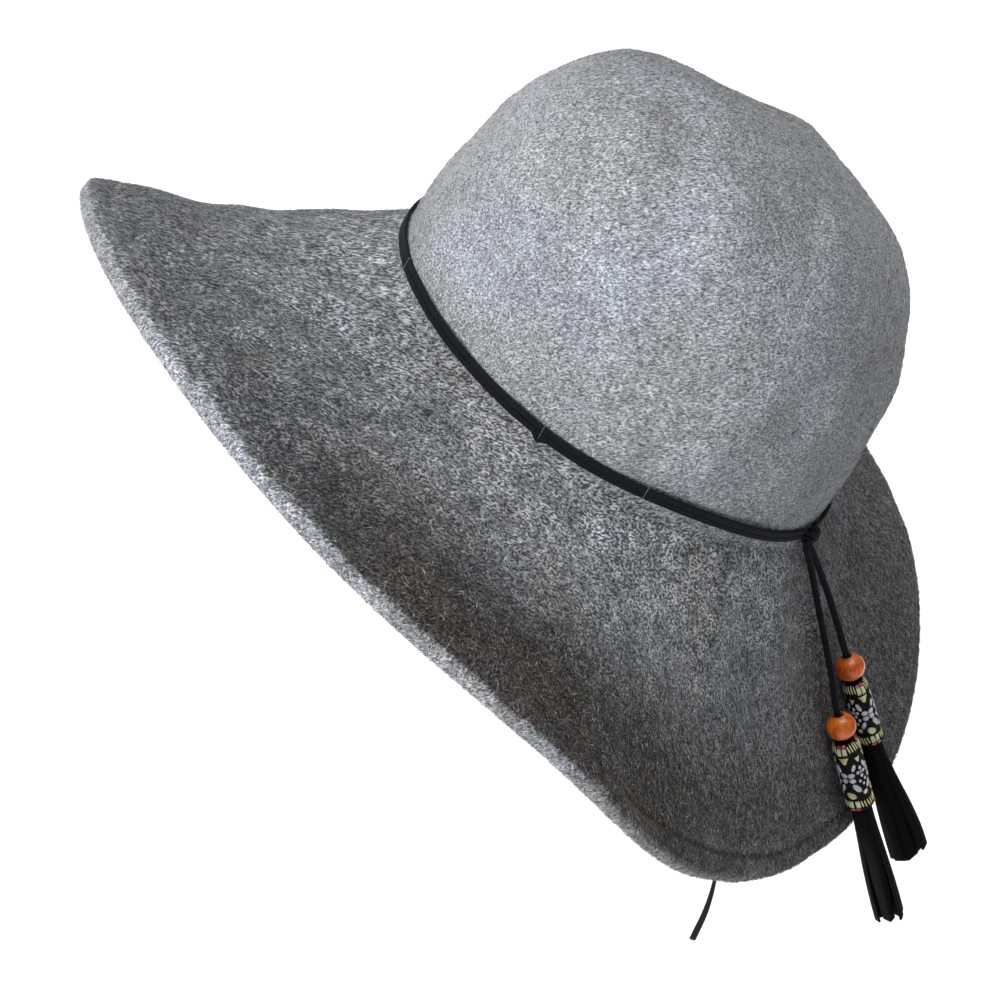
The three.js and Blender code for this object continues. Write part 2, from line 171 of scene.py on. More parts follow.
class NodeBench:
    """The nodes of one material or group, with a short call for each kind of node used here."""

    def __init__(self, tree):
        self.nodes, self.links = tree.nodes, tree.links

    def add(self, kind):
        return self.nodes.new(f"ShaderNode{kind}")

    def feed(self, socket, value):
        """A number, a colour or another node's output goes into a socket."""
        if isinstance(value, (int, float)):
            socket.default_value = value
        elif isinstance(value, tuple):
            socket.default_value = (*value, 1.0)
        else:
            self.links.new(value, socket)

    def feed_all(self, node, values):
        for slot, value in values.items():
            self.feed(node.inputs[slot], value)
        return node

    def math(self, kind, first, second):
        node = self.add("Math")
        node.operation = kind
        return self.feed_all(node, {0: first, 1: second}).outputs[0]

    def mix(self, factor, first, second, blend="MIX"):
        node = self.add("Mix")
        node.data_type, node.blend_type = "RGBA", blend
        return self.feed_all(node, {0: factor, 6: first, 7: second}).outputs[2]

    def multiply_colours(self, first, second):
        return self.mix(1.0, first, second, "MULTIPLY")

    def remap(self, value, low, high, to_low=0.0, to_high=1.0):
        node = self.add("MapRange")
        return self.feed_all(node, {0: value, 1: low, 2: high, 3: to_low, 4: to_high}).outputs[0]

    def noise(self, vector, scale, detail=2.0, roughness=0.5):
        node = self.add("TexNoise")
        values = {"Vector": vector, "Scale": scale, "Detail": detail, "Roughness": roughness}
        return self.feed_all(node, values).outputs[0]

    def wave(self, vector, scale, axis, distortion):
        node = self.add("TexWave")
        node.wave_profile, node.bands_direction = "SIN", axis
        values = {"Vector": vector, "Scale": scale, "Distortion": distortion, "Detail": 2.0}
        return self.feed_all(node, values).outputs[1]

    def mapping(self, vector, turn, scale):
        node = self.add("Mapping")
        self.links.new(vector, node.inputs["Vector"])
        node.inputs["Rotation"].default_value = turn
        node.inputs["Scale"].default_value = scale
        return node.outputs[0]

    def grey(self, value):
        node = self.add("CombineColor")
        return self.feed_all(node, {0: value, 1: value, 2: value}).outputs[0]

    def ramp(self, value, *stops):
        """Colours between stops of position and colour."""
        node = self.add("ValToRGB")
        first, *between, last = stops
        for element, (position, colour) in zip(node.color_ramp.elements, (first, last)):
            element.position, element.color = position, (*colour, 1)
        for position, colour in between:
            node.color_ramp.elements.new(position).color = (*colour, 1)
        return self.feed_all(node, {0: value}).outputs[0]

    def attribute(self, name):
        node = self.add("Attribute")
        node.attribute_name = name
        return node.outputs["Fac"]

    def object_vector(self):
        return self.add("TexCoord").outputs["Object"]

    def group(self, group, vector, **values):
        node = self.add("Group")
        node.node_tree = group
        return self.feed_all(node, {"Vector": vector, **values})

    def bump(self, shader, height, distance, strength):
        node = self.add("Bump")
        self.feed_all(node, {"Strength": strength, "Distance": distance, "Height": height})
        self.links.new(node.outputs[0], shader.inputs["Normal"])


def new_group(name, inputs, outputs):
    """An empty node group with named sockets: (name, kind, default)."""
    group = bpy.data.node_groups.new(name, "ShaderNodeTree")
    for label, kind, default in inputs:
        socket = group.interface.new_socket(name=label, in_out="INPUT", socket_type=kind)
        if default is not None:
            socket.default_value = default
    for label, kind in outputs:
        group.interface.new_socket(name=label, in_out="OUTPUT", socket_type=kind)
    return group, group.nodes.new("NodeGroupInput"), group.nodes.new("NodeGroupOutput")


# Directions in which the felt's fibres lie, and how far they are stretched
FIBRE_TURNS = [(0.0, 0.0, 0.0), (0.4, 1.1, 0.7), (1.2, 0.3, 2.0), (0.8, 2.1, 1.1)]
FIBRE_STRETCH = (1.0, 0.4, 1.0)


def build_matted_fibres():
    """Short fibres lying every way, as stretched noise in four directions."""
    group, source, result = new_group(
        "matted_fibres",
        [("Vector", "NodeSocketVector", None), ("Scale", "NodeSocketFloat", 500.0)],
        [("Strands", "NodeSocketFloat"), ("Clumps", "NodeSocketFloat")],
    )
    bench = NodeBench(group)
    vector, scale = source.outputs["Vector"], source.outputs["Scale"]
    total = None
    for turn in FIBRE_TURNS:
        strand = bench.noise(bench.mapping(vector, turn, FIBRE_STRETCH), scale, 1.0)
        total = strand if total is None else bench.math("ADD", total, strand)
    strands = bench.remap(bench.math("MULTIPLY", total, 1 / len(FIBRE_TURNS)), 0.36, 0.64)
    clumps = bench.noise(vector, bench.math("MULTIPLY", scale, 0.16), 3.0, 0.6)
    bench.feed_all(result, {"Strands": strands, "Clumps": clumps})
    return group


def build_satin_threads():
    """Fine parallel threads of a stitch, along one direction of the piece; their Shade is painted shade,
    darker in the furrows between them.
    """
    group, source, result = new_group(
        "satin_threads",
        [("Vector", "NodeSocketVector", None), ("Threads", "NodeSocketFloat", 40.0)],
        [("Height", "NodeSocketFloat"), ("Shade", "NodeSocketFloat")],
    )
    bench = NodeBench(group)
    height = bench.wave(source.outputs["Vector"], source.outputs["Threads"], "X", 1.5)
    bench.feed_all(result, {"Height": height, "Shade": bench.remap(height, 0.0, 1.0, 0.75, 1.0)})
    return group


MATTED_FIBRES = build_matted_fibres()
SATIN_THREADS = build_satin_threads()


def new_material(name, **finish):
    """A material, its bench and its shader; finish gives the shader's own sockets, with _ for a space."""
    material = bpy.data.materials.new(name)
    material.use_nodes = True
    bench = NodeBench(material.node_tree)
    shader = bench.nodes["Principled BSDF"]
    for label, value in finish.items():
        shader.inputs[label.replace("_", " ")].default_value = value
    return material, bench, shader


FELT_DARK = (0.075, 0.077, 0.084)
FELT_MIDDLE = (0.262, 0.270, 0.286)
FELT_LIGHT = (0.58, 0.595, 0.625)
# Colour of the painted shade on the brim: darker and browner
PAINTED_SHADE_TINT = (0.17, 0.148, 0.13)
FELT_BROWN = (0.88, 0.80, 0.70)
FELT_BLUE = (0.93, 0.98, 1.08)
# The second value is how much painted shade darkens the felt in the hem's groove
TINT_SHARE, GROOVE_PAINTED_SHADE = 0.35, 0.75


def painted_shade_colour(bench, colour):
    """Painted shade makes the colour darker and browner by the amount in the piece's own attribute."""
    return bench.mix(bench.attribute("wear"), colour, bench.multiply_colours(colour, PAINTED_SHADE_TINT))


def felt_material():
    """Heathered felt; where the nap is loose its grain is coarser and has more contrast."""
    material, bench, shader = new_material(
        "wool_felt", Roughness=0.95, Specular_IOR_Level=0.12, Sheen_Weight=0.25, Sheen_Roughness=0.5,
    )
    vector = bench.object_vector()
    fine = bench.group(MATTED_FIBRES, vector, Scale=1900.0)
    coarse = bench.group(MATTED_FIBRES, vector, Scale=1150.0)
    blotch = bench.noise(vector, 34.0, 4.0, 0.6)
    warmth = bench.noise(vector, 21.0, 3.0, 0.55)
    nap = bench.attribute("loose")
    contrast = bench.math("ADD", bench.math("MULTIPLY", nap, 1.8), 1.0)

    apart = bench.math("SUBTRACT", coarse.outputs["Strands"], fine.outputs["Strands"])
    blend = bench.math("MULTIPLY", bench.remap(nap, 0.0, 1.0, 0.35, 0.75), apart)
    heather = bench.math("ADD", fine.outputs["Strands"], blend)
    from_middle = bench.math("MULTIPLY", bench.math("SUBTRACT", heather, 0.5), contrast)
    mottle = bench.math("ADD", from_middle, 0.5)
    strands = bench.ramp(mottle, (0.2, FELT_DARK), (0.5, FELT_MIDDLE), (0.8, FELT_LIGHT))

    cloud = bench.math("ADD", bench.remap(blotch, 0.3, 0.7, -0.14, 0.14),
                       bench.remap(coarse.outputs["Clumps"], 0.3, 0.7, -0.15, 0.15))
    tufts = bench.remap(bench.noise(vector, 170.0, 3.0, 0.6), 0.3, 0.7, -0.34, 0.34)
    cloud = bench.math("ADD", bench.math("MULTIPLY", cloud, contrast), bench.math("MULTIPLY", nap, tufts))
    # Painted shade: the felt is darker along the groove where the hem is sewn down
    groove = bench.math("SUBTRACT", 1.0, bench.math("MULTIPLY", bench.attribute("groove"), GROOVE_PAINTED_SHADE))
    tone = bench.math("MULTIPLY", bench.math("ADD", cloud, 1.0), groove)

    tint = bench.mix(bench.remap(warmth, 0.42, 0.6), FELT_BLUE, FELT_BROWN)
    toned = bench.mix(TINT_SHARE, strands, bench.multiply_colours(strands, tint))
    shaded = bench.multiply_colours(toned, bench.grey(tone))
    # The brim's painted shade, darker and browner, goes over the felt's colour
    bench.feed(shader.inputs["Base Color"], painted_shade_colour(bench, shaded))
    height = bench.math("ADD", heather, bench.math("MULTIPLY", coarse.outputs["Clumps"], 0.8))
    bench.bump(shader, bench.math("MULTIPLY", height, contrast), 0.0004, 0.8)
    return material


def strand_material(name):
    """Single fibres: each keeps its own shade from light to dark."""
    material, bench, shader = new_material(name, Roughness=0.9, Specular_IOR_Level=0.2, Sheen_Weight=0.4)
    shade = bench.ramp(bench.attribute("shade"), (0.0, FELT_DARK), (1.0, FELT_LIGHT))
    # The brim's painted shade darkens and browns the fibres as well
    bench.feed(shader.inputs["Base Color"], painted_shade_colour(bench, shade))
    return material


def suede_material(name, colour, nap):
    material, bench, shader = new_material(
        name, Roughness=0.9, Specular_IOR_Level=0.15, Sheen_Weight=nap, Sheen_Roughness=0.45,
    )
    vector = bench.object_vector()
    strands = bench.group(MATTED_FIBRES, vector, Scale=1600.0).outputs["Strands"]
    patches = bench.remap(bench.noise(vector, 220.0, 2.0, 0.6), 0.35, 0.7, 0.35, 1.0)
    raised = tuple(value * 2.4 + 0.003 for value in colour)
    factor = bench.math("MULTIPLY", bench.remap(strands, 0.45, 1.0), patches)
    bench.feed(shader.inputs["Base Color"], bench.mix(factor, colour, raised))
    bench.bump(shader, strands, 0.00025, 0.8)
    return material


def wood_material():
    """Varnished wood with grain along the bead's height, and painted shade inside the hole and on its rounded
    rim.
    """
    material, bench, shader = new_material(
        "varnished_wood", Roughness=0.32, Coat_Weight=0.45, Coat_Roughness=0.12,
    )
    vector = bench.object_vector()
    grain = bench.noise(bench.mapping(vector, (0.25, 0.1, 0.0), (1.0, 1.0, 0.16)), 1300.0, 4.0, 0.65)
    cloud = bench.noise(vector, 170.0)
    blend = bench.math("ADD", bench.math("MULTIPLY", grain, 0.5), bench.math("MULTIPLY", cloud, 0.5))
    wood = bench.ramp(blend, (0.36, (0.42, 0.028, 0.003)), (0.62, (1.0, 0.235, 0.016)))
    mouth_painted_shade = bench.math("MULTIPLY", bench.attribute("mouth"), 0.85)
    bench.feed(shader.inputs["Base Color"], bench.mix(mouth_painted_shade, wood, (0.05, 0.006, 0.002)))
    bench.bump(shader, grain, 0.00012, 0.5)
    return material


def cloth_material():
    """Black cloth of the sleeves, plain weave."""
    material, bench, shader = new_material("patterned_cloth", Roughness=0.8, Specular_IOR_Level=0.2)
    uv = bench.add("UVMap")
    uv.uv_map = "cloth"
    across, up = (bench.wave(uv.outputs[0], 780.0, axis, 0.6) for axis in ("X", "Y"))
    weave = bench.math("MULTIPLY", across, up)
    bench.feed(shader.inputs["Base Color"], bench.mix(weave, (0.003, 0.003, 0.004), (0.012, 0.012, 0.015)))
    bench.bump(shader, weave, 0.0002, 0.8)
    return material


def stitch_material(name, colour, tint=None):
    """Embroidery thread laid in satin stitch, with patches of a second tint where one is given."""
    material, bench, shader = new_material(name, Roughness=0.5, Sheen_Weight=0.2)
    threads = bench.group(SATIN_THREADS, bench.object_vector(), Threads=900.0)
    base = colour
    if tint is not None:
        patches = bench.noise(bench.object_vector(), 420.0, 1.0)
        base = bench.mix(bench.remap(patches, 0.42, 0.62), colour, tint)
    # Painted shade in the furrows between the threads darkens the thread colour
    shaded = bench.multiply_colours(base, bench.grey(threads.outputs["Shade"]))
    bench.feed(shader.inputs["Base Color"], shaded)
    bench.bump(shader, threads.outputs["Height"], 0.00012, 0.7)
    return material


def floor_material():
    material, bench, shader = new_material("pale_floor", Roughness=0.8)
    cloud = bench.remap(bench.noise(bench.object_vector(), 0.6, 1.0, 0.4), 0.3, 0.7)
    bench.feed(shader.inputs["Base Color"], bench.mix(cloud, (0.93, 0.93, 0.93), (0.95, 0.95, 0.95)))
    return material


FELT = felt_material()
FELT_STRAND = strand_material("felt_strands")
SUEDE_BAND = suede_material("suede_band", (0.006, 0.0065, 0.009), 0.06)
SUEDE_TIE = suede_material("suede_tie", (0.007, 0.0075, 0.010), 0.08)
SUEDE_TASSEL = suede_material("suede_tassel", (0.0015, 0.0015, 0.0018), 0.0)
WOOD = wood_material()
CLOTH = cloth_material()
EMBROIDERY = {
    "cream": stitch_material("thread_cream", (1.0, 0.99, 0.68)),
    "yellow": stitch_material("thread_yellow", (0.88, 0.84, 0.36), (1.0, 0.98, 0.66)),
    "lilac": stitch_material("thread_lilac", (0.90, 0.86, 1.0), (1.0, 1.0, 1.0)),
    "white": stitch_material("thread_white", (0.90, 0.95, 1.0)),
    "rose": stitch_material("thread_rose", (0.62, 0.05, 0.09), (0.75, 0.32, 0.34)),
}
TACK_THREAD = stitch_material("tack_thread", (0.20, 0.21, 0.23))
HEM_THREAD = stitch_material("hem_thread", (0.03, 0.03, 0.034))


# Making pieces

def finish_piece(piece, material, nodes=()):
    """Material, shading and body of the piece; the CAD nodes that it stands for are hidden."""
    piece.data.materials.append(material)
    piece.data.shade_smooth()
    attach(piece, "root")
    if nodes:
        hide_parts(*nodes)
    return piece


def mesh_piece(name, points, faces):
    data = bpy.data.meshes.new(name)
    data.from_pydata([tuple(point) for point in points], [], [tuple(face) for face in faces])
    data.update()
    piece = bpy.data.objects.new(name, data)
    bpy.context.scene.collection.objects.link(piece)
    return piece


def set_attribute(piece, label, values):
    attribute = piece.data.attributes.new(label, "FLOAT", "POINT")
    attribute.data.foreach_set("value", values.astype(np.float32))


def set_places(piece, points):
    piece.data.vertices.foreach_set("co", points.astype(np.float32).ravel())


def deselect_all():
    bpy.ops.object.select_all(action="DESELECT")


def mend_normals(piece, doubles=1e-6):
    deselect_all()
    piece.select_set(True)
    bpy.context.view_layer.objects.active = piece
    bpy.ops.object.mode_set(mode="EDIT")
    bpy.ops.mesh.select_all(action="SELECT")
    bpy.ops.mesh.remove_doubles(threshold=doubles)
    bpy.ops.mesh.normals_make_consistent(inside=False)
    bpy.ops.object.mode_set(mode="OBJECT")
    deselect_all()


def join_pieces(name, parts):
    """Parts made one after the other become one piece."""
    deselect_all()
    for part in parts:
        part.select_set(True)
    bpy.context.view_layer.objects.active = parts[0]
    bpy.ops.object.join()
    parts[0].name = parts[0].data.name = name
    deselect_all()
    return parts[0]


CURVE_STEPS = 60


def curve_through(points, count):
    """Even points on the centripetal curve through the given ones."""
    points = np.asarray(points, float)
    ends = np.vstack([2 * points[0] - points[1], points, 2 * points[-1] - points[-2]])
    curve = []
    for index in range(len(points) - 1):
        four = ends[index:index + 4]
        knots = np.maximum(np.linalg.norm(np.diff(four, axis=0), axis=1) ** 0.5, 1e-4)
        start = (four[1] - four[0]) / knots[0] - (four[2] - four[0]) / (knots[0] + knots[1])
        start = (start + (four[2] - four[1]) / knots[1]) * knots[1]
        stop = (four[2] - four[1]) / knots[1] - (four[3] - four[1]) / (knots[1] + knots[2])
        stop = (stop + (four[3] - four[2]) / knots[2]) * knots[1]
        step = np.linspace(0, 1, CURVE_STEPS, endpoint=index == len(points) - 2)[:, None]
        square = -3 * four[1] + 3 * four[2] - 2 * start - stop
        cube = 2 * four[1] - 2 * four[2] + start + stop
        curve.append(four[1] + start * step + square * step ** 2 + cube * step ** 3)
    curve = np.vstack(curve)
    distance = np.concatenate([[0], np.cumsum(np.linalg.norm(np.diff(curve, axis=0), axis=1))])
    even = np.linspace(0, distance[-1], count)
    return np.stack([np.interp(even, distance, curve[:, axis]) for axis in range(3)], -1)


def flat_section(width, thickness, sides=12, squareness=3.0):
    """Rounded flat outline, as across and out."""
    turn = np.linspace(0, 2 * math.pi, sides, endpoint=False) + math.pi / sides
    power = 2 / squareness
    across = np.sign(np.cos(turn)) * np.abs(np.cos(turn)) ** power * width / 2
    out = np.sign(np.sin(turn)) * np.abs(np.sin(turn)) ** power * thickness / 2
    return np.stack([across, out], -1)


def tube_faces(count, sides, closed=False, base=0):
    """Faces of a tube of rings of points, capped at both ends unless it is closed."""
    faces = []
    for ring in range(count if closed else count - 1):
        low, high = base + ring * sides, base + (ring + 1) % count * sides
        for side in range(sides):
            beside = (side + 1) % sides
            faces.append((low + side, low + beside, high + beside, high + side))
    if not closed:
        faces.append(tuple(base + side for side in range(sides - 1, -1, -1)))
        faces.append(tuple(base + (count - 1) * sides + side for side in range(sides)))
    return faces


def sweep(name, path, section, facing, closed=False, scales=None):
    """A section carried along a path, its second direction kept towards facing."""
    path = np.asarray(path, float)
    if closed:
        tangent = unit(np.roll(path, -1, 0) - np.roll(path, 1, 0))
    else:
        tangent = unit(np.gradient(path, axis=0))
    facing = np.broadcast_to(np.asarray(facing, float), path.shape)
    out = unit(facing - (facing * tangent).sum(-1, keepdims=True) * tangent)
    across = np.cross(tangent, out)
    if scales is None:
        scales = np.ones((len(path), 2))
    shape = section[None] * scales[:, None, :]
    rings = path[:, None] + across[:, None] * shape[..., :1] + out[:, None] * shape[..., 1:]
    piece = mesh_piece(name, rings.reshape(-1, 3), tube_faces(len(path), len(section), closed))
    mend_normals(piece)
    return piece


def thread_batch(name, lines, radius, sides=6):
    """Many short threads as one piece: lines is threads by points by three, thinner at both ends."""
    lines = np.asarray(lines, float)
    threads, count = lines.shape[:2]
    tangent = unit(np.gradient(lines, axis=1))
    axis = unit(np.array([lines[..., 0], lines[..., 1], 0 * lines[..., 2]]).transpose(1, 2, 0))
    beside = unit(np.cross(tangent, axis))
    above = np.cross(beside, tangent)
    turn = np.linspace(0, 2 * math.pi, sides, endpoint=False)
    taper = np.sqrt(np.clip(1 - np.linspace(-0.93, 0.93, count) ** 2, 0, 1))[None, :, None, None]
    ring = beside[:, :, None] * np.cos(turn)[:, None] + above[:, :, None] * np.sin(turn)[:, None]
    points = lines[:, :, None] + ring * radius * (0.35 + 0.65 * taper)
    faces = []
    for thread in range(threads):
        faces += tube_faces(count, sides, base=thread * count * sides)
    piece = mesh_piece(name, points.reshape(-1, 3), faces)
    mend_normals(piece, 1e-5)
    return piece


# Felt: one blocked surface from the top of the crown, over the brim's edge, to the inside

FELT_COLUMNS = 256
PROFILE_STEPS = 488


def oval_point(around):
    return np.stack([HALF_WIDTH * np.sin(around), HALF_LENGTH * np.cos(around), 0 * around], -1)


def oval_outward(around):
    return unit(np.stack([np.sin(around) / HALF_WIDTH, np.cos(around) / HALF_LENGTH, 0 * around], -1))


def sections_at(around):
    """Slope at the band, slope at the edge and width, on a closed smooth curve."""
    rows = np.array(BRIM_SECTIONS, float)
    place = (around / (2 * math.pi) * len(rows)) % len(rows)
    index = np.floor(place).astype(int)
    step = (place - index)[..., None]
    before, here, after, beyond = (rows[(index + shift) % len(rows)] for shift in (-1, 0, 1, 2))
    start, stop = (after - before) / 2, (beyond - here) / 2
    square = -3 * here + 3 * after - 2 * start - stop
    cube = 2 * here - 2 * after + start + stop
    return here + start * step + square * step ** 2 + cube * step ** 3


def crown_points(around, up):
    angle = up * math.pi / 2
    power = 2 / CROWN_SQUARENESS
    across = np.maximum(np.cos(angle), 0) ** power
    rise = np.sin(angle) ** power
    point = oval_point(around) * across[..., None]
    point[..., 1] += CROWN_LEAN * rise
    point[..., 2] = CROWN_HEIGHT * rise
    inward = unit(point - DENT_CENTRE)
    depth = np.zeros(rise.shape)
    for around_dent, up_dent, deep, spread in CROWN_DENTS:
        turn, lift = math.radians(around_dent), math.radians(up_dent)
        towards = np.array([math.sin(turn) * math.cos(lift), math.cos(turn) * math.cos(lift), math.sin(lift)])
        away = np.degrees(np.arccos(np.clip(inward @ towards, -1, 1))) / spread
        depth += deep * np.exp(-away * away)
    fade = np.minimum(rise / 0.2, 1)
    return point - inward * (depth * fade)[..., None]


def brim_points(around, rows):
    """Points of the brim's top: one row of columns for each distance from the band."""
    section = sections_at(around)
    middle = (np.arange(PROFILE_STEPS) + 0.5) / PROFILE_STEPS
    width = section[:, 2] + SPARE_WIDTH
    along = middle[:, None] * width
    from_edge = width - along
    even = section[:, 0] + (section[:, 1] - section[:, 0]) * middle[:, None]
    bend = (90 - even) * (1 - smooth(along / BEND_LENGTH))
    roll = SEAM_SLOPE * smooth((HEM_WIDTH + SPARE_WIDTH - from_edge) / SEAM_TURN)
    uneven = 0.25 * soft_noise(oval_point(around), 26, 7) + 0.15 * soft_noise(oval_point(around), 9, 8)
    roll += LIP_SLOPE * smooth((LIP_WIDTH + uneven - from_edge) / (LIP_WIDTH - LIP_FLAT))
    roll += OUTER_LEAN * smooth((LEAN_WIDTH - from_edge) / (LEAN_WIDTH - HEM_WIDTH - 1))
    slope = np.radians(even + bend + roll)
    step = width / PROFILE_STEPS
    reach = np.vstack([np.zeros(len(around)), np.cumsum(np.cos(slope) * step, axis=0)])
    drop = np.vstack([np.zeros(len(around)), np.cumsum(np.sin(slope) * step, axis=0)])
    place = rows / BRIM_WIDTH * PROFILE_STEPS
    low = np.minimum(np.floor(place).astype(int), PROFILE_STEPS - 1)
    part = (place - low)[:, None]
    reach = reach[low] * (1 - part) + reach[low + 1] * part
    drop = drop[low] * (1 - part) + drop[low + 1] * part
    points = oval_point(around)[None] + oval_outward(around)[None] * reach[..., None]
    points[..., 2] -= drop
    return points


def crown_rows(count):
    """Heights up the crown that lie evenly along its side."""
    dense = np.linspace(0, 1, 3000)
    line = crown_points(0 * dense, dense)
    distance = np.concatenate([[0], np.cumsum(np.linalg.norm(np.diff(line, axis=0), axis=1))])
    return np.interp(np.linspace(distance[-1], 0, count), distance, dense), distance[-1]


CROWN_ROW_COUNT = 66
BRIM_ROWS = np.concatenate([
    np.linspace(0, 6, 9)[1:], np.linspace(6, 105, 54)[1:], np.linspace(105, BRIM_WIDTH, 23)[1:],
])
EDGE_ROWS = 9

# Filled by make_felt: the felt's rows of points and their painted shade, and where the brim and the edge
# begin
FELT_SURFACE = {}


def grid_normals(rings, top):
    """Outward normals of rings of columns that run round the hat."""
    above = np.concatenate([np.broadcast_to(top, rings[:1].shape), rings[:-1]])
    below = np.concatenate([rings[1:], 2 * rings[-1:] - rings[-2:-1]])
    down = below - above
    round_hat = np.roll(rings, -1, 1) - np.roll(rings, 1, 1)
    return unit(np.cross(down, round_hat))


def felt_skins():
    """Outer rings, their normals and their distance from the band, before the edge is closed."""
    around = np.linspace(0, 2 * math.pi, FELT_COLUMNS, endpoint=False)
    ups, side = crown_rows(CROWN_ROW_COUNT)
    ups = ups[1:]
    crown = np.stack([crown_points(around, np.full(FELT_COLUMNS, up)) for up in ups])
    brim = brim_points(around, BRIM_ROWS)
    top = crown_points(np.zeros(1), np.ones(1))[0]
    rings = np.concatenate([crown, brim])
    along = np.concatenate([-np.linspace(side, 0, CROWN_ROW_COUNT)[1:], BRIM_ROWS])
    normals = grid_normals(rings, top)
    outward = np.sign((normals[10] * (rings[10] - DENT_CENTRE)).sum(-1).mean())
    return around, along, rings, normals * outward, top


# Soft folds of the crown: middle in hat coordinates, its long direction, half length, half width, height
CROWN_FOLDS = [
    ((26, -51, 110), (0.9, 0.4, 0.1), 26, 13, -1.6),
    ((8, -45, 115), (0.5, 0.85, 0.1), 20, 9, 1.0),
    ((46, 10, 111), (0.75, 0.2, -0.6), 22, 6.5, -1.7),
    ((50, -12, 108), (0.8, 0.1, -0.5), 20, 9, 0.9),
    ((-40, -30, 104), (0.6, 0.7, -0.4), 24, 11, -1.4),
]

# Where the hem's seam shows most, in degrees around, and how far to each side
SEAM_MIDDLE, SEAM_REACH = 47, 42

# A ridge runs down the back of the brim from the knot: degrees around, and its drift per millimetre
RIDGE_AROUND, RIDGE_DRIFT = 28, 0.2


def degrees_around(around):
    """From -180 to 180 degrees, with the back of the hat at nought."""
    return (np.degrees(around) + 180) % 360 - 180


def clear_of_band(along):
    """From nought under the band to one away from it."""
    return smooth((np.abs(along - 3) - 5) / 8)


def felt_relief(points, around, along):
    """Soft unevenness of hand-blocked felt, its folds, and the groove where the hem is sewn down."""
    relief = 0.5 * soft_noise(points, 34, 3) + 0.13 * soft_noise(points, 9, 4)
    for middle, direction, long, wide, high in CROWN_FOLDS:
        apart = points - np.array(middle, float)
        along_fold = apart @ unit(np.array(direction, float))
        across = np.sqrt(np.maximum((apart ** 2).sum(-1) - along_fold ** 2, 0))
        relief += high * np.exp(-(along_fold / long) ** 2 - (across / wide) ** 2)

    turn = degrees_around(around)
    ridge = np.radians(turn - RIDGE_AROUND + RIDGE_DRIFT * along) * (HALF_LENGTH + 0.8 * along)
    share = smooth(along / 25) * (1 - smooth((along - 95) / 20))
    relief += share * (1.5 * np.exp(-(ridge / 7) ** 2) - 0.7 * np.exp(-((ridge + 15) / 9) ** 2))

    from_seam = along - (BRIM_WIDTH - HEM_WIDTH)
    shown = 0.3 + 0.7 * np.exp(-((turn - SEAM_MIDDLE) / SEAM_REACH) ** 4)
    wander = 0.7 * soft_noise(np.stack([turn, 0 * turn, 0 * turn], -1), 40, 6)
    # The groove's mask also darkens the felt's colour, as painted shade
    groove = np.exp(-((from_seam - wander) / 1.0) ** 2) * shown
    swell = np.exp(-((from_seam - 4.5) / 2.8) ** 2) + 0.5 * np.exp(-((from_seam + 4) / 2.5) ** 2)
    calm = clear_of_band(along) * (1 - 0.75 * smooth((along - BRIM_WIDTH + 10) / 7))
    return relief * calm - 0.7 * groove + 0.25 * swell * shown, groove


# How much painted shade darkens and browns the brim: degrees around, then at the band, further out and at the
# rim
BRIM_PAINTED_SHADE = [
    (-180, 0.0, 0.15, 0.1), (-120, 0.05, 0.15, 0.1), (-60, 0.25, 0.4, 0.3), (-10, 0.4, 0.6, 0.5),
    (20, 0.4, 0.5, 0.5), (40, 0.1, 0.45, 0.4), (70, 0.0, 0.6, 0.25), (90, 0.0, 0.7, 0.1),
    (110, 0.0, 0.65, 0.1), (150, 0.0, 0.2, 0.0), (180, 0.0, 0.15, 0.1),
]
PAINTED_SHADE_STRENGTH = 1.65


# Painted shade of the brim, by the table above: darker and browner towards its outer part, most from the back
# round to the wearer's left
def felt_wear(around, along):
    turn = degrees_around(around)
    table = np.array(BRIM_PAINTED_SHADE)
    inner, outer, rim = (np.interp(turn, table[:, 0], table[:, column]) for column in (1, 2, 3))
    wear = inner + (outer - inner) * smooth((along - 42) / 60)
    place = oval_point(around) + along[..., None] * np.array([0, 0, 1])
    ragged = 0.8 * soft_noise(place, 12, 9)
    wear = wear + (rim - wear) * smooth((along + ragged - BRIM_WIDTH + LIP_WIDTH + 0.8) / 1.8)
    return PAINTED_SHADE_STRENGTH * wear * smooth((along + 1) / 6)


def felt_nap(along):
    """How loose the nap is: not on the crown, and little on the lip."""
    return smooth((along + 4) / 10) * (1 - 0.8 * smooth((along - BRIM_WIDTH + LIP_WIDTH + 1) / 3))


def lip_drop(along):
    """The lip sinks a little more towards its edge."""
    return 0.6 * np.clip((along - BRIM_WIDTH + LIP_WIDTH) / LIP_WIDTH, 0, 1) ** 1.8


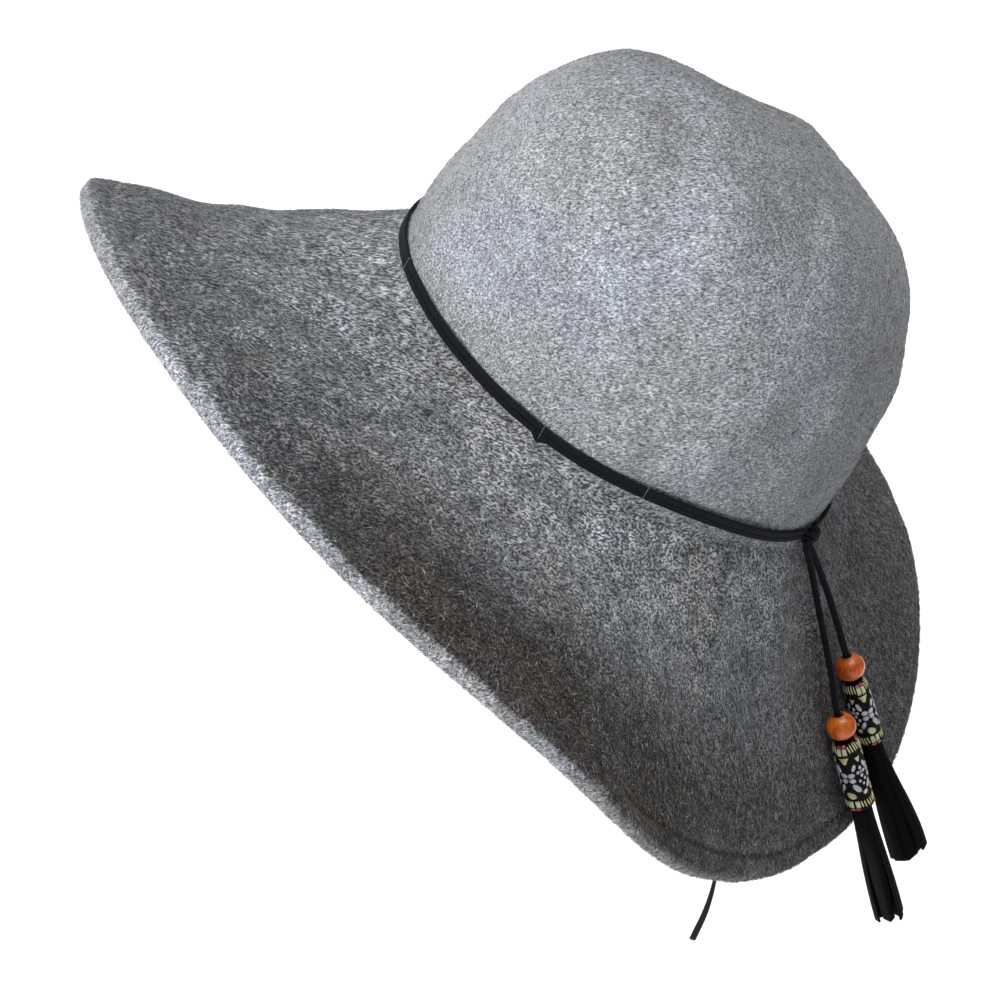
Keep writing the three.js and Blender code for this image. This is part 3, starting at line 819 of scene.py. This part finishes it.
def make_felt():
    around, along, rings, normals, top = felt_skins()
    distance = np.repeat(along[:, None], FELT_COLUMNS, 1)
    around = np.broadcast_to(around, distance.shape)
    relief, groove = felt_relief(rings, around, distance)
    rings = rings - normals * lip_drop(distance)[..., None]
    thick = WALL + (HEM_THICKNESS - WALL) * smooth((distance - BRIM_WIDTH + HEM_WIDTH + 0.6) / 1.2)
    under = rings - normals * thick[..., None]
    under += normals * (0.25 * soft_noise(under, 17, 5) * clear_of_band(distance))[..., None]
    outer = rings + normals * relief[..., None]

    # The edge is a round nose over the double thickness
    outward = unit(outer[-1] - outer[-2])
    upward = unit(normals[-1] - (normals[-1] * outward).sum(-1, keepdims=True) * outward)
    under[-1] = outer[-1] - upward * HEM_THICKNESS
    turn = np.linspace(0, math.pi, EDGE_ROWS + 2)[1:-1, None, None]
    radius = HEM_THICKNESS / 2
    edge = outer[-1] - upward * radius + (upward * np.cos(turn) + outward * np.sin(turn)) * radius
    inside_top = top - np.array([0, 0, WALL])
    rows = np.concatenate([
        np.broadcast_to(top, (1, FELT_COLUMNS, 3)), outer, edge, under[::-1],
        np.broadcast_to(inside_top, (1, FELT_COLUMNS, 3)),
    ])
    row_count = len(rows)

    def over_and_under(values, round_edge, below):
        """Values of the outside carried round the edge and to the underside, each at its own share."""
        none = np.zeros((1, FELT_COLUMNS))
        return np.concatenate([none, values, round_edge * np.repeat(values[-1:], EDGE_ROWS, 0),
                               below * values[::-1], none])

    # The painted shade goes round the edge and, weaker, onto the underside
    looks = {
        "groove": over_and_under(groove, 0, 0),
        "wear": over_and_under(felt_wear(around, distance), 1, 0.6),
        "loose": over_and_under(felt_nap(distance), 1, 0.4),
    }
    FELT_SURFACE.update(rows=rows, wear=looks["wear"][..., None])
    FELT_SURFACE.update(brim=CROWN_ROW_COUNT, outer=1 + len(outer))

    # A flat grid is rolled round the hat, and its seam and its two poles are sewn together
    deselect_all()
    bpy.ops.mesh.primitive_grid_add(x_subdivisions=FELT_COLUMNS, y_subdivisions=row_count - 1, size=1)
    felt = bpy.context.object
    felt.name = felt.data.name = "felt_hat"
    flat = np.empty(len(felt.data.vertices) * 3, np.float32)
    felt.data.vertices.foreach_get("co", flat)
    flat = flat.reshape(-1, 3)
    column = np.rint((flat[:, 0] + 0.5) * FELT_COLUMNS).astype(int) % FELT_COLUMNS
    row = np.rint((flat[:, 1] + 0.5) * (row_count - 1)).astype(int)
    set_places(felt, to_world(rows[row, column]))
    for label, values in looks.items():
        set_attribute(felt, label, values[row, column])
    felt.data.update()
    mend_normals(felt, 1e-7)
    finish_piece(felt, FELT, ["felt_body"])


make_felt()


# Loose fibres: each a bent splinter of six triangles that starts in the felt and lies over it

def felt_at(values, row, column):
    """The felt's grid of points or directions, read between its rows and columns."""
    row = np.clip(row, 0, len(values) - 1.001)
    low, left = np.floor(row).astype(int), np.floor(column).astype(int)
    down, beside = (row - low)[:, None], (column - left)[:, None]
    left, right = left % FELT_COLUMNS, (left + 1) % FELT_COLUMNS
    above = values[low, left] * (1 - beside) + values[low, right] * beside
    below = values[low + 1, left] * (1 - beside) + values[low + 1, right] * beside
    return above * (1 - down) + below * down


def felt_normals():
    rows = FELT_SURFACE["rows"]
    down = np.gradient(rows, axis=0)
    across = np.roll(rows, -1, 1) - np.roll(rows, 1, 1)
    normals = unit(np.cross(down, across))
    middle = FELT_SURFACE["brim"] // 2
    return normals * np.sign((normals[middle] * (rows[middle] - DENT_CENTRE)).sum(-1).mean())


def make_fibres(name, first, last, count, length, width, lift, spread, seed):
    """Fibres between two rows of the felt, in millimetres; spread is how far they turn from straight down."""
    draw = np.random.default_rng(seed)
    rows, normals = FELT_SURFACE["rows"], FELT_SURFACE["normals"]
    tall = np.linalg.norm(np.diff(rows[first:last + 1], axis=0), axis=-1)
    wide = np.linalg.norm(np.roll(rows, -1, 1) - rows, axis=-1)[first:last]
    area = (tall * wide).ravel()
    cell = draw.choice(len(area), count, p=area / area.sum())
    tall, wide = np.maximum(tall.ravel()[cell], 0.1), np.maximum(wide.ravel()[cell], 0.1)
    row = first + cell // FELT_COLUMNS + draw.uniform(0, 1, count)
    column = cell % FELT_COLUMNS + draw.uniform(0, 1, count)
    turn = draw.normal(0, spread, count)
    reach = length * draw.uniform(0.45, 1.5, count)
    bend = draw.normal(0, 0.55, count)
    steps = np.stack([np.cos(turn), np.sin(turn)]) * reach / 2
    later = np.stack([np.cos(turn + bend), np.sin(turn + bend)]) * reach / 2

    def place(down, across, high):
        at = np.clip(row + down / tall, first, last)
        over = column + across / wide
        return felt_at(rows, at, over) + felt_at(normals, at, over) * high[:, None]

    start = place(0 * turn, 0 * turn, np.full(count, -0.12))
    waist = place(*steps, lift * draw.uniform(0.25, 1.0, count))
    tip = place(*(steps + later), lift * draw.uniform(-0.3, 1.7, count))
    up = unit(felt_at(normals, row, column))
    beside = unit(np.cross(tip - start, up))
    thick = width * draw.uniform(0.6, 1.3, count)[:, None] / 2
    ring = [waist + thick * side for side in (0.7 * up, beside - 0.35 * up, -beside - 0.35 * up)]
    points = to_world(np.stack([start, *ring, tip], 1).reshape(-1, 3))
    corners = np.array([[0, 2, 1], [0, 3, 2], [0, 1, 3], [4, 1, 2], [4, 2, 3], [4, 3, 1]])
    faces = (np.arange(count)[:, None, None] * 5 + corners).reshape(-1, 3)
    fibres = mesh_piece(name, points.tolist(), faces.tolist())
    # Painted shade of the brim carried onto the fibres, weakly on some and strongly on most
    fading = draw.choice([0.25, 1.6], count, p=[0.3, 0.7])
    wear = felt_at(FELT_SURFACE["wear"], row, column)[:, 0] * fading
    set_attribute(fibres, "shade", np.repeat(draw.beta(0.55, 0.6, count), 5))
    set_attribute(fibres, "wear", np.repeat(wear, 5))
    finish_piece(fibres, FELT_STRAND)


def make_all_fibres():
    """Each batch: its rows, then count, length, width, lift, spread and seed."""
    FELT_SURFACE["normals"] = felt_normals()
    outer, last = FELT_SURFACE["outer"], len(FELT_SURFACE["rows"]) - 1
    near_band, outer_brim = FELT_SURFACE["brim"] + 6, FELT_SURFACE["brim"] + 24
    hem, under = outer - 20, outer + EDGE_ROWS
    make_fibres("felt_fibres_crown", 3, near_band, 30000, 2.3, 0.23, 0.30, 3.0, 51)
    make_fibres("felt_fibres_brim", near_band, hem, 32000, 2.9, 0.31, 0.45, 0.9, 52)
    make_fibres("felt_fibres_outer_brim", outer_brim, hem, 32000, 3.4, 0.36, 0.5, 0.5, 55)
    make_fibres("felt_fibres_edge", hem, under, 20000, 3.4, 0.24, 0.5, 0.6, 53)
    make_fibres("felt_fibres_underside", under, last - 4, 16000, 2.8, 0.26, 0.32, 1.3, 54)


make_all_fibres()


STITCH_PITCH, HEM_THREAD_RADIUS = 3.4, 0.16


def make_hem_stitches():
    """Running stitches sunk in the groove of the hem."""
    rows, normals = FELT_SURFACE["rows"], FELT_SURFACE["normals"]
    along = np.concatenate([np.full(FELT_SURFACE["brim"], -1.0), BRIM_ROWS])
    seam = float(np.interp(BRIM_WIDTH - HEM_WIDTH, along, np.arange(len(along))))
    line = felt_at(rows, np.full(FELT_COLUMNS, seam), np.arange(FELT_COLUMNS) + 0.0)
    length = np.linalg.norm(np.roll(line, -1, 0) - line, axis=1).sum()
    count = int(length / STITCH_PITCH)
    column = (np.arange(count)[:, None] + np.linspace(0.08, 0.72, 5)) * FELT_COLUMNS / count
    lift = np.array([-0.35, 0.1, 0.2, 0.1, -0.35])
    place, flat = np.full(column.size, seam), column.ravel()
    points = felt_at(rows, place, flat) + felt_at(normals, place, flat) * np.tile(lift, count)[:, None]
    stitches = thread_batch("hem_stitches", points.reshape(count, 5, 3), HEM_THREAD_RADIUS)
    stitches.data.transform(HAT_TO_WORLD)
    finish_piece(stitches, HEM_THREAD)


make_hem_stitches()


# Laces of the band

def band_points(around, height, out):
    """Points at a height on the band and a distance out from the crown; the band rides up in two places."""
    rise = np.zeros(np.shape(around))
    for middle, reach, high in BAND_RISES:
        away = np.abs(np.degrees(around) - middle) / reach
        rise += np.where(away < 1, high * np.cos(away * math.pi / 2) ** 2, 0)
    points = oval_point(around) + oval_outward(around) * np.asarray(out)[..., None]
    points[..., 2] = height + rise
    points[..., 1] += CROWN_LEAN * points[..., 2] / CROWN_HEIGHT
    return points


def band_path(height, count=420):
    clear = (KNOT_ALONG + GAP) / HALF_LENGTH
    around = KNOT_AROUND + clear + np.linspace(0, 1, count) * 2 * (math.pi - clear)
    return around, band_points(around, height, np.full(count, BAND_GAP + LACE_THICKNESS / 2))


def make_band():
    for turn, height in LACE_HEIGHTS.items():
        around, path = band_path(height)
        path[:, 2] += 0.06 * soft_noise(path, 30, 11 if turn == "upper" else 12)
        section = flat_section(LACE_HEIGHT + 0.16, LACE_THICKNESS, 16, 5.0)
        facing = oval_outward(around)
        lace = sweep(f"suede_band_{turn}", to_world(path), section * MM, to_world(facing))
        finish_piece(lace, SUEDE_BAND, [f"band_lace_{turn}"])


make_band()


# Degrees round the crown at which a thread tacks the band down; the first three are on the wearer's left
BAND_TACKS = [85.5, 111.5, 167, 232, 290, 345]


def make_tacks():
    for number, place in enumerate(BAND_TACKS):
        around = np.full(9, math.radians(place)) + np.linspace(-0.004, 0.006, 9)
        height = np.array([-0.3, 0.1, 0.5, 1.8, 3.1, 4.4, 5.6, 6.1, 6.7])
        out = np.array([0.2, 1.2, 2.05, 2.12, 2.12, 2.12, 2.05, 1.2, 0.2])
        path = curve_through(band_points(around, height, out), 26)
        thread = sweep(f"band_tack_{number}", to_world(path), flat_section(0.2, 0.2, 8, 2.0) * MM,
                       to_world(oval_outward(around[:1])[0]))
        finish_piece(thread, TACK_THREAD)

    # A small fold of the lace hangs over its lower edge at the second tack
    around = np.radians(BAND_TACKS[1]) + np.array([-0.034, -0.015, 0.0, 0.015, 0.03])
    path = curve_through(band_points(around, np.array([1.6, 0.7, -0.1, 0.8, 1.7]), np.full(5, 2.35)), 24)
    fold = sweep("suede_band_fold", to_world(path), flat_section(1.5, 0.7, 12, 4.0) * MM,
                 to_world(oval_outward(around[:1])[0]))
    finish_piece(fold, SUEDE_BAND)


make_tacks()


# Hanging laces

def tie_path(tie):
    bead = np.array(tie["bead"], float)
    lean = unit(np.array(tie["lean"], float))
    into = bead - lean * 0.75 * BEAD_LENGTH
    end = bead + lean * (CORE_DROP - GAP)
    return curve_through([*tie["route"], into, bead, end], 90) * MM


def make_hanging_laces():
    for side, tie in TIES.items():
        path = tie_path(tie)
        section = flat_section(LACE_DIAMETER, LACE_DIAMETER * 0.62)
        facing = np.array([0.8, -0.25, 0.3]) if side == "left" else np.array([0.9, 0.3, 0.3])
        lace = sweep(f"suede_tie_{side}", path, section * MM, facing)
        finish_piece(lace, SUEDE_TIE, [f"lace_end_{side}"])
        tie["lace"], tie["path"] = lace, path


make_hanging_laces()


def make_inner_tie():
    path = curve_through(INNER_TIE_ROUTE, 110) * MM
    turn = 0.25 + 1.35 * smooth(np.linspace(-3.6, 1, len(path)))
    facing = np.stack([np.sin(turn), np.cos(turn), 0 * turn], -1)
    section = flat_section(LACE_DIAMETER, LACE_DIAMETER * 0.45)
    lace = sweep("suede_inner_tie", path, section * MM, facing)
    finish_piece(lace, SUEDE_TIE, ["inner_tie"])


make_inner_tie()


# Knot: a half hitch wound from one lace

def knot_frame():
    """Place and directions of the knot in hat coordinates: along the band, out and up."""
    around = np.array(KNOT_AROUND)
    out = oval_outward(around)
    centre = oval_point(around) + out * (GAP + KNOT_OUT + 0.1)
    centre[2] = KNOT_HEIGHT
    return centre, np.array([-out[1], out[0], 0.0]), out, np.array([0.0, 0.0, 1.0])


def make_knot():
    centre, along, out, up = knot_frame()

    def strand(name, points, facing, width=2.3, thickness=1.3, closed=False, count=40):
        points = np.asarray(points, float)
        path = curve_through(points, count) if not closed else points
        placed = to_world(centre + path @ np.stack([along, out, up]))
        facing = to_world(np.asarray(facing, float) @ np.stack([along, out, up])) / MM
        return sweep(name, placed, flat_section(width, thickness) * MM, facing, closed)

    parts = []
    turn = np.linspace(0, 2 * math.pi, 40, endpoint=False)
    for shift, lean, wide in [(-1.7, 0.22, 3.3), (0.9, -0.18, 3.45), (2.6, -0.3, 2.9)]:
        loop = np.stack([shift + lean * np.sin(turn) * 3, 1.9 * np.cos(turn), wide * np.sin(turn)], -1)
        ways = np.stack([0 * turn, np.cos(turn), np.sin(turn)], -1)
        parts.append(strand("coil", loop, ways, 2.2, 1.2, True))
    for height in (-1.2, 1.25):
        core = [(-4.9, -1.6, height), (-2.5, -0.6, height * 0.9), (0, 0.1, height * 0.7),
                (2.5, -0.6, height * 0.9), (4.9, -1.6, height)]
        parts.append(strand("core", core, (0, 1, 0), 2.1, 1.4))
    cross = [(-3.6, 0.4, 2.4), (-1.8, 2.1, 1.6), (0.6, 2.5, -0.4), (2.6, 1.7, -2.2), (3.2, 0.2, -3.2)]
    parts.append(strand("cross", cross, (0, 1, 0), 2.4, 1.1))
    for side in ("left", "right"):
        start = TIES[side]["path"][0]
        ahead = unit(TIES[side]["path"][1] - start)
        middle = to_world(centre + along * (1.2 if side == "right" else -0.6) - up * 2.6)
        stub = curve_through([middle, (middle + start) / 2 + ahead * 0.0002, start + ahead * 0.0006], 10)
        parts.append(sweep("stub", stub, flat_section(2.4, 1.5) * MM, (0.85, 0.1, 0.4)))
    knot = join_pieces("suede_knot", parts)
    finish_piece(knot, SUEDE_BAND, ["band_knot"])


make_knot()


# Bead, sleeve and tassel are made upright round the bead's middle, in millimetres, then hung on their tie

def drop_matrix(tie):
    lean = Vector(tie["lean"]).normalized()
    turn = Vector((0, 0, -1)).rotation_difference(lean).to_matrix().to_4x4()
    return Matrix.Translation(Vector(tie["bead"]) * MM) @ turn @ Matrix.Scale(MM, 4)


def hang(piece, tie):
    """Puts an upright piece in its place on the tie, and lists it with the tie."""
    piece.data.transform(drop_matrix(tie))
    piece.data.update()
    tie["with"].append(piece)


def camera_angle(tie):
    """Angle round the drop's axis at which its surface faces the camera."""
    turn = drop_matrix(tie).to_3x3().inverted()
    towards = turn @ Vector((math.cos(CAMERA_ELEVATION), 0, math.sin(CAMERA_ELEVATION)))
    return math.atan2(towards.y, towards.x)


def select_in_edit(piece, kind, test):
    """In edit mode, selects the faces or edges whose middle passes the test."""
    mesh = bmesh.from_edit_mesh(piece.data)
    for items in (mesh.faces, mesh.edges, mesh.verts):
        for item in items:
            item.select = False
    for item in getattr(mesh, kind):
        if kind == "faces":
            middle = item.calc_center_median()
        else:
            middle = (item.verts[0].co + item.verts[1].co) / 2
        if test(middle, item):
            item.select_set(True)
    mesh.select_flush_mode()
    bmesh.update_edit_mesh(piece.data)


def turned_piece(name, outline, sides):
    """A ring extruded and resized along a closed outline of radius and height."""
    deselect_all()
    radius, height = outline[0]
    bpy.ops.mesh.primitive_circle_add(vertices=sides, radius=radius, location=(0, 0, height))
    piece = bpy.context.object
    bpy.ops.object.transform_apply(location=True, rotation=True, scale=True)
    bpy.ops.object.mode_set(mode="EDIT")
    bpy.ops.mesh.select_all(action="SELECT")
    for next_radius, next_height in [*outline[1:], outline[0]]:
        bpy.ops.mesh.extrude_region_move(TRANSFORM_OT_translate={"value": (0, 0, next_height - height)})
        ratio = next_radius / radius
        bpy.ops.transform.resize(value=(ratio, ratio, 1), center_override=(0, 0, next_height))
        radius, height = next_radius, next_height
    bpy.ops.object.mode_set(mode="OBJECT")
    piece.name = piece.data.name = name
    mend_normals(piece, 1e-3)
    return piece


def make_bead(side, tie):
    deselect_all()
    bpy.ops.mesh.primitive_uv_sphere_add(segments=48, ring_count=32, radius=BEAD_DIAMETER / 2)
    bead = bpy.context.object
    mouth = math.sqrt((BEAD_DIAMETER / 2) ** 2 - (BEAD_HOLE / 2 + 0.25) ** 2)
    bpy.ops.object.mode_set(mode="EDIT")
    select_in_edit(bead, "faces", lambda middle, _: abs(middle.z) > mouth)
    bpy.ops.mesh.delete(type="FACE")
    select_in_edit(bead, "edges", lambda _, edge: edge.is_boundary)
    bpy.ops.mesh.bridge_edge_loops(number_cuts=3)
    bpy.ops.mesh.select_all(action="SELECT")
    bpy.ops.mesh.normals_make_consistent(inside=False)
    rim = max(vertex.co.z for vertex in bmesh.from_edit_mesh(bead.data).verts)
    select_in_edit(bead, "edges", lambda middle, edge: abs(abs(middle.z) - rim) < 0.01)
    bpy.ops.mesh.bevel(offset=0.45, segments=3, affect="EDGES")
    bpy.ops.mesh.select_all(action="SELECT")
    squeeze = BEAD_FLATTER * BEAD_LENGTH / 2 / rim
    bpy.ops.transform.resize(value=(BEAD_WIDER, BEAD_WIDER, squeeze), center_override=(0, 0, 0))
    bpy.ops.object.mode_set(mode="OBJECT")
    bead.name = bead.data.name = f"wood_bead_round_{side}"
    places = np.array([vertex.co for vertex in bead.data.vertices])
    reach = np.hypot(places[:, 0], places[:, 1])
    # Where painted shade darkens the wood: inside the hole, fading out over its rim
    near = 1 - smooth((reach - BEAD_HOLE / 2 - 0.1) / 0.9)
    set_attribute(bead, "mouth", near)
    hang(bead, tie)
    finish_piece(bead, WOOD, [f"wood_bead_{side}"])


SLEEVE_TOP = -(BEAD_LENGTH / 2 + GAP)
SLEEVE_RADIUS = SLEEVE_DIAMETER / 2 - 0.35
SLEEVE_SIDES = 60


def sleeve_radius(height, half):
    """Outside of the cloth by height from its middle: rolled at both ends, gathered under the bead."""
    from_end = half - np.abs(height)
    gather = 1.3 * smooth(1 - (half - height) / 3.4)
    roll = 0.35 * np.exp(-((from_end - 0.8) / 0.7) ** 2)
    round_end = 0.7 * (1 - smooth(from_end / 0.8))
    return SLEEVE_RADIUS - round_end - gather + roll + 0.1 * np.cos(height * 0.32)


def across_view(tie):
    angle = camera_angle(tie)
    return np.array([-math.sin(angle), math.cos(angle), 0])


def flattened(tie):
    """A cloth tube lies a little flat, and is narrower across the view."""
    return Matrix.Scale(tie["flat"], 4, across_view(tie))


def make_sleeve(side, tie):
    half = tie["sleeve"] / 2
    middle = SLEEVE_TOP - half
    heights = np.concatenate([[-half, -half + 0.25, -half + 0.6], np.linspace(-half + 1.1, half - 1.1, 26),
                              [half - 0.6, half - 0.25, half]])
    outline = [(float(sleeve_radius(height, half)), float(height)) for height in heights]
    outline += [(3.9, half - 0.1), (3.55, half - 0.6), (3.5, half - 3)]
    outline += [(3.5, -half + 3), (3.55, -half + 0.6), (4.6, -half + 0.1)]
    outline = [(radius, height + middle) for radius, height in outline]
    sleeve = turned_piece(f"cloth_sleeve_{side}", outline, SLEEVE_SIDES)
    places = np.array([vertex.co for vertex in sleeve.data.vertices])
    uneven = 1 + 0.012 * soft_noise(places, 7, 20 + tie["seed"])
    places[:, :2] *= uneven[:, None]
    set_places(sleeve, places)
    layer = sleeve.data.uv_layers.new(name="cloth")
    for polygon in sleeve.data.polygons:
        angles = [math.atan2(places[index][1], places[index][0]) for index in polygon.vertices]
        for loop, index, angle in zip(polygon.loop_indices, polygon.vertices, angles):
            if max(angles) - min(angles) > math.pi and angle < 0:
                angle += 2 * math.pi
            layer.data[loop].uv = (angle * SLEEVE_RADIUS * MM, places[index][2] * MM)
    sleeve.data.transform(flattened(tie))
    hang(sleeve, tie)
    finish_piece(sleeve, CLOTH, [f"sleeve_{side}"])


THREAD_RADIUS = 0.17
REPEATS, REPEAT_WIDTH = 3, 12.3

# One repeat of the border pattern, charted as millimetres round and up the sleeve:
# thread, shape, place round, place up, width, height, turn in degrees
MOTIF = [
    ("cream", "bar", -1.3, 11.3, 1.8, 3.0, 0), ("cream", "bar", 1.3, 11.3, 1.8, 3.0, 0),
    ("rose", "bar", -1.25, 13.45, 1.8, 0.8, 0), ("rose", "bar", 1.25, 13.45, 1.8, 0.8, 0),
    ("yellow", "wedge", 0, 7.6, 4.6, 2.7, 0),
    ("lilac", "oval", -1.65, 1.4, 3.0, 1.9, -8), ("lilac", "oval", 1.65, 1.4, 3.0, 1.9, 8),
    ("lilac", "oval", -1.6, -0.95, 2.8, 1.8, 8), ("lilac", "oval", 1.6, -0.95, 2.8, 1.8, -8),
    ("rose", "oval", 0, 0.25, 1.0, 0.5, 0),
    ("white", "oval", -3.5, 4.3, 3.8, 1.7, 118), ("white", "oval", 3.4, 4.4, 3.2, 1.4, 62),
    ("white", "oval", -3.4, -4.1, 3.6, 1.6, 60), ("white", "oval", 3.0, -4.4, 4.9, 2.1, 122),
    ("yellow", "oval", -0.4, -7.3, 4.4, 2.6, -24),
    ("cream", "bar", -1.3, -11.2, 1.8, 2.9, 0), ("cream", "bar", 1.3, -11.2, 1.8, 2.9, 0),
    ("rose", "bar", -1.25, -13.3, 1.8, 0.8, 0), ("rose", "bar", 1.25, -13.3, 1.8, 0.8, 0),
    ("yellow", "bar", 3.35, 12.1, 0.5, 2.9, 12), ("yellow", "bar", 4.75, 12.3, 0.5, 3.1, 12),
    ("yellow", "bar", 6.15, 12.3, 0.5, 3.1, 12), ("yellow", "bar", 7.55, 12.3, 0.5, 3.1, 12),
    ("yellow", "bar", 9.0, 12.1, 0.5, 2.9, 12),
    ("yellow", "bar", 3.35, -11.3, 0.5, 2.7, 12), ("yellow", "bar", 4.75, -11.5, 0.5, 2.9, 12),
    ("yellow", "bar", 6.15, -11.5, 0.5, 2.9, 12), ("yellow", "bar", 7.55, -11.5, 0.5, 2.9, 12),
    ("yellow", "bar", 9.0, -11.3, 0.5, 2.7, 12),
    ("cream", "wedge", 6.2, 7.2, 2.6, 2.0, 0), ("cream", "oval", 6.2, -6.8, 2.4, 1.6, 30),
    ("white", "dot", 6.2, 3.6, 1.4, 1.4, 0), ("white", "dot", 4.8, 1.9, 1.5, 1.3, 0),
    ("white", "dot", 7.6, 1.9, 1.5, 1.3, 0), ("white", "dot", 6.2, 0.3, 1.4, 1.4, 0),
    ("lilac", "dot", 6.2, 1.95, 0.9, 0.9, 0), ("white", "dot", 4.9, -1.7, 1.2, 1.2, 0),
    ("white", "dot", 7.5, -1.5, 1.3, 1.2, 0), ("white", "dot", 6.3, -3.2, 1.1, 1.1, 0),
]


def satin_lines(shape, width, height, turn):
    """Ends of the parallel threads that fill a small shape, about its middle."""
    span, fewest = (width, 1) if shape == "bar" else (height, 2)
    count = max(fewest, round(span / (THREAD_RADIUS * 1.75)))
    offsets = (np.arange(count) - (count - 1) / 2) * (span / count)
    cos, sin = math.cos(math.radians(turn)), math.sin(math.radians(turn))
    for offset in offsets:
        part = offset / (span / 2)
        share = 0.62 + 0.38 * part if shape == "wedge" else math.sqrt(max(0.0, 1 - part * part * 0.9))
        ends = ((-width / 2 * share, offset), (width / 2 * share, offset))
        if shape == "bar":
            ends = ((offset, -height / 2), (offset, height / 2))
        yield [(x * cos - y * sin, x * sin + y * cos) for x, y in ends]


def make_embroidery(side, tie):
    base = camera_angle(tie) + math.radians(tie["pattern_turn"])
    steps = np.linspace(0, 1, 6)
    repeat = 2 * math.pi * SLEEVE_RADIUS / REPEATS
    stretch = repeat / REPEAT_WIDTH
    half = tie["sleeve"] / 2
    taller = tie["sleeve"] / SLEEVE_LENGTH
    draw = np.random.default_rng(30 + tie["seed"])
    lines = {colour: [] for colour in EMBROIDERY}
    for copy in range(REPEATS):
        for colour, shape, across, up, width, height, turn in MOTIF:
            across, up = across + draw.normal(0, 0.08), up + draw.normal(0, 0.08)
            for (x0, y0), (x1, y1) in satin_lines(shape, width, height, turn + draw.normal(0, 3)):
                place = across * stretch + copy * repeat + x0 + (x1 - x0) * steps
                level = np.clip(up * taller + y0 + (y1 - y0) * steps, 0.05 - half, half - 0.05)
                lift = THREAD_RADIUS * (0.15 + 0.9 * np.sin(math.pi * steps))
                reach = sleeve_radius(level, half) + lift + draw.uniform(-0.02, 0.03)
                angle = base + place / SLEEVE_RADIUS
                lines[colour].append(np.stack([reach * np.cos(angle), reach * np.sin(angle),
                                               level + SLEEVE_TOP - half], -1))
    for colour, threads in lines.items():
        piece = thread_batch(f"stitched_{colour}_{side}", threads, THREAD_RADIUS)
        piece.data.transform(flattened(tie))
        hang(piece, tie)
        finish_piece(piece, EMBROIDERY[colour])


# The longest strip's end below the bead's middle, the shorter cuts, and the points along a strip
STRIP_END = TASSEL_DROP - 0.3
STRIP_CUTS = [0.0, 0.5, 1.2, 4.0]
STRIP_POINTS = 26


def make_tassel(side, tie):
    """Suede strips in two rings round a bound core, fanned out across the view and cut unevenly."""
    draw = np.random.default_rng(40 + tie["seed"])
    sleeve_end = SLEEVE_TOP - SLEEVE_LENGTH
    across = across_view(tie)
    parts = []
    for count, reach, spread in [(9, 3.15, 1.0), (5, 1.6, 0.6)]:
        for index in range(count):
            angle = 2 * math.pi * (index + draw.uniform(-0.15, 0.15)) / count + 0.3
            flare = draw.uniform(0.7, 1.5) * spread
            stop = draw.choice(STRIP_CUTS) * draw.uniform(0.6, 1.0) - STRIP_END
            levels = np.array([sleeve_end + 3.5, sleeve_end, sleeve_end - 9, sleeve_end - 20,
                               sleeve_end - 33, stop + 8, stop])
            radii = reach + np.array([0, 0.1, 0.3, 0.6, 0.85, 0.9, 0.8]) * flare
            twist = angle + np.cumsum(draw.normal(0, 0.05, len(levels)))
            points = np.stack([radii * np.cos(twist), radii * np.sin(twist), levels], -1)
            loose = smooth((sleeve_end - levels) / 52)[:, None]
            points += loose * across * ((points @ across)[:, None] * tie["fan"] + tie["shift"])
            path = curve_through(points, STRIP_POINTS)
            spin = np.linspace(0, draw.normal(0, 0.5), STRIP_POINTS)
            facing = np.stack([np.cos(angle + spin), np.sin(angle + spin), 0 * spin], -1)
            wide = draw.uniform(3.1, 3.7)
            scales = np.ones((STRIP_POINTS, 2))
            scales[:, 0] += 0.05 * np.sin(np.linspace(0, 9, STRIP_POINTS) + draw.uniform(0, 6))
            scales[:, 0] += tie["fan"] * np.linspace(0, 1, STRIP_POINTS)
            parts.append(sweep("strip", path, flat_section(wide, 1.15, 10, 4.0), facing, scales=scales))
    core = turned_piece("core", [(0.01, sleeve_end - 2.5), (2.6, sleeve_end - 2), (3.0, sleeve_end + 1),
                                 (3.05, -CORE_DROP - 0.5), (2.6, -CORE_DROP), (0.01, -CORE_DROP)], 20)
    tassel = join_pieces(f"suede_tassel_{side}", [*parts, core])
    hang(tassel, tie)
    finish_piece(tassel, SUEDE_TASSEL, [f"tassel_{side}"])


for side, tie in TIES.items():
    tie["with"] = []
    make_bead(side, tie)
    make_sleeve(side, tie)
    make_embroidery(side, tie)
    make_tassel(side, tie)


# Floor and light

def add_stage():
    deselect_all()
    bpy.ops.mesh.primitive_plane_add(size=14, location=(0, 0, -0.6))
    floor = bpy.context.object
    floor.name = "floor"
    floor.data.materials.append(floor_material())


def add_light(name, place, aim, size, power, colour=(1, 1, 1)):
    data = bpy.data.lights.new(name, "AREA")
    data.shape = "SQUARE"
    data.size = size
    data.energy = power
    data.color = colour
    light = bpy.data.objects.new(name, data)
    light.location = place
    light.rotation_euler = (Vector(aim) - Vector(place)).to_track_quat("-Z", "Y").to_euler()
    bpy.context.scene.collection.objects.link(light)


add_stage()
add_light("key", (1.56, -1.50, 0.50), (0, 0, 0), 0.8, 56, (0.975, 0.985, 1.0))
add_light("top", (0.2, 0.15, 1.7), (0, 0, 0), 1.4, 22)
add_light("floor_wash", (-1.4, 0, 0.8), (-1.4, 0, -0.6), 2.2, 14)
bpy.data.lights["floor_wash"].spread = 1.3
world = bpy.data.worlds.new("studio")
world.use_nodes = True
world.node_tree.nodes["Background"].inputs[0].default_value = (1, 1, 1, 1)
world.node_tree.nodes["Background"].inputs[1].default_value = 0.2
bpy.context.scene.world = world
bpy.context.scene.view_settings.view_transform = "Standard"
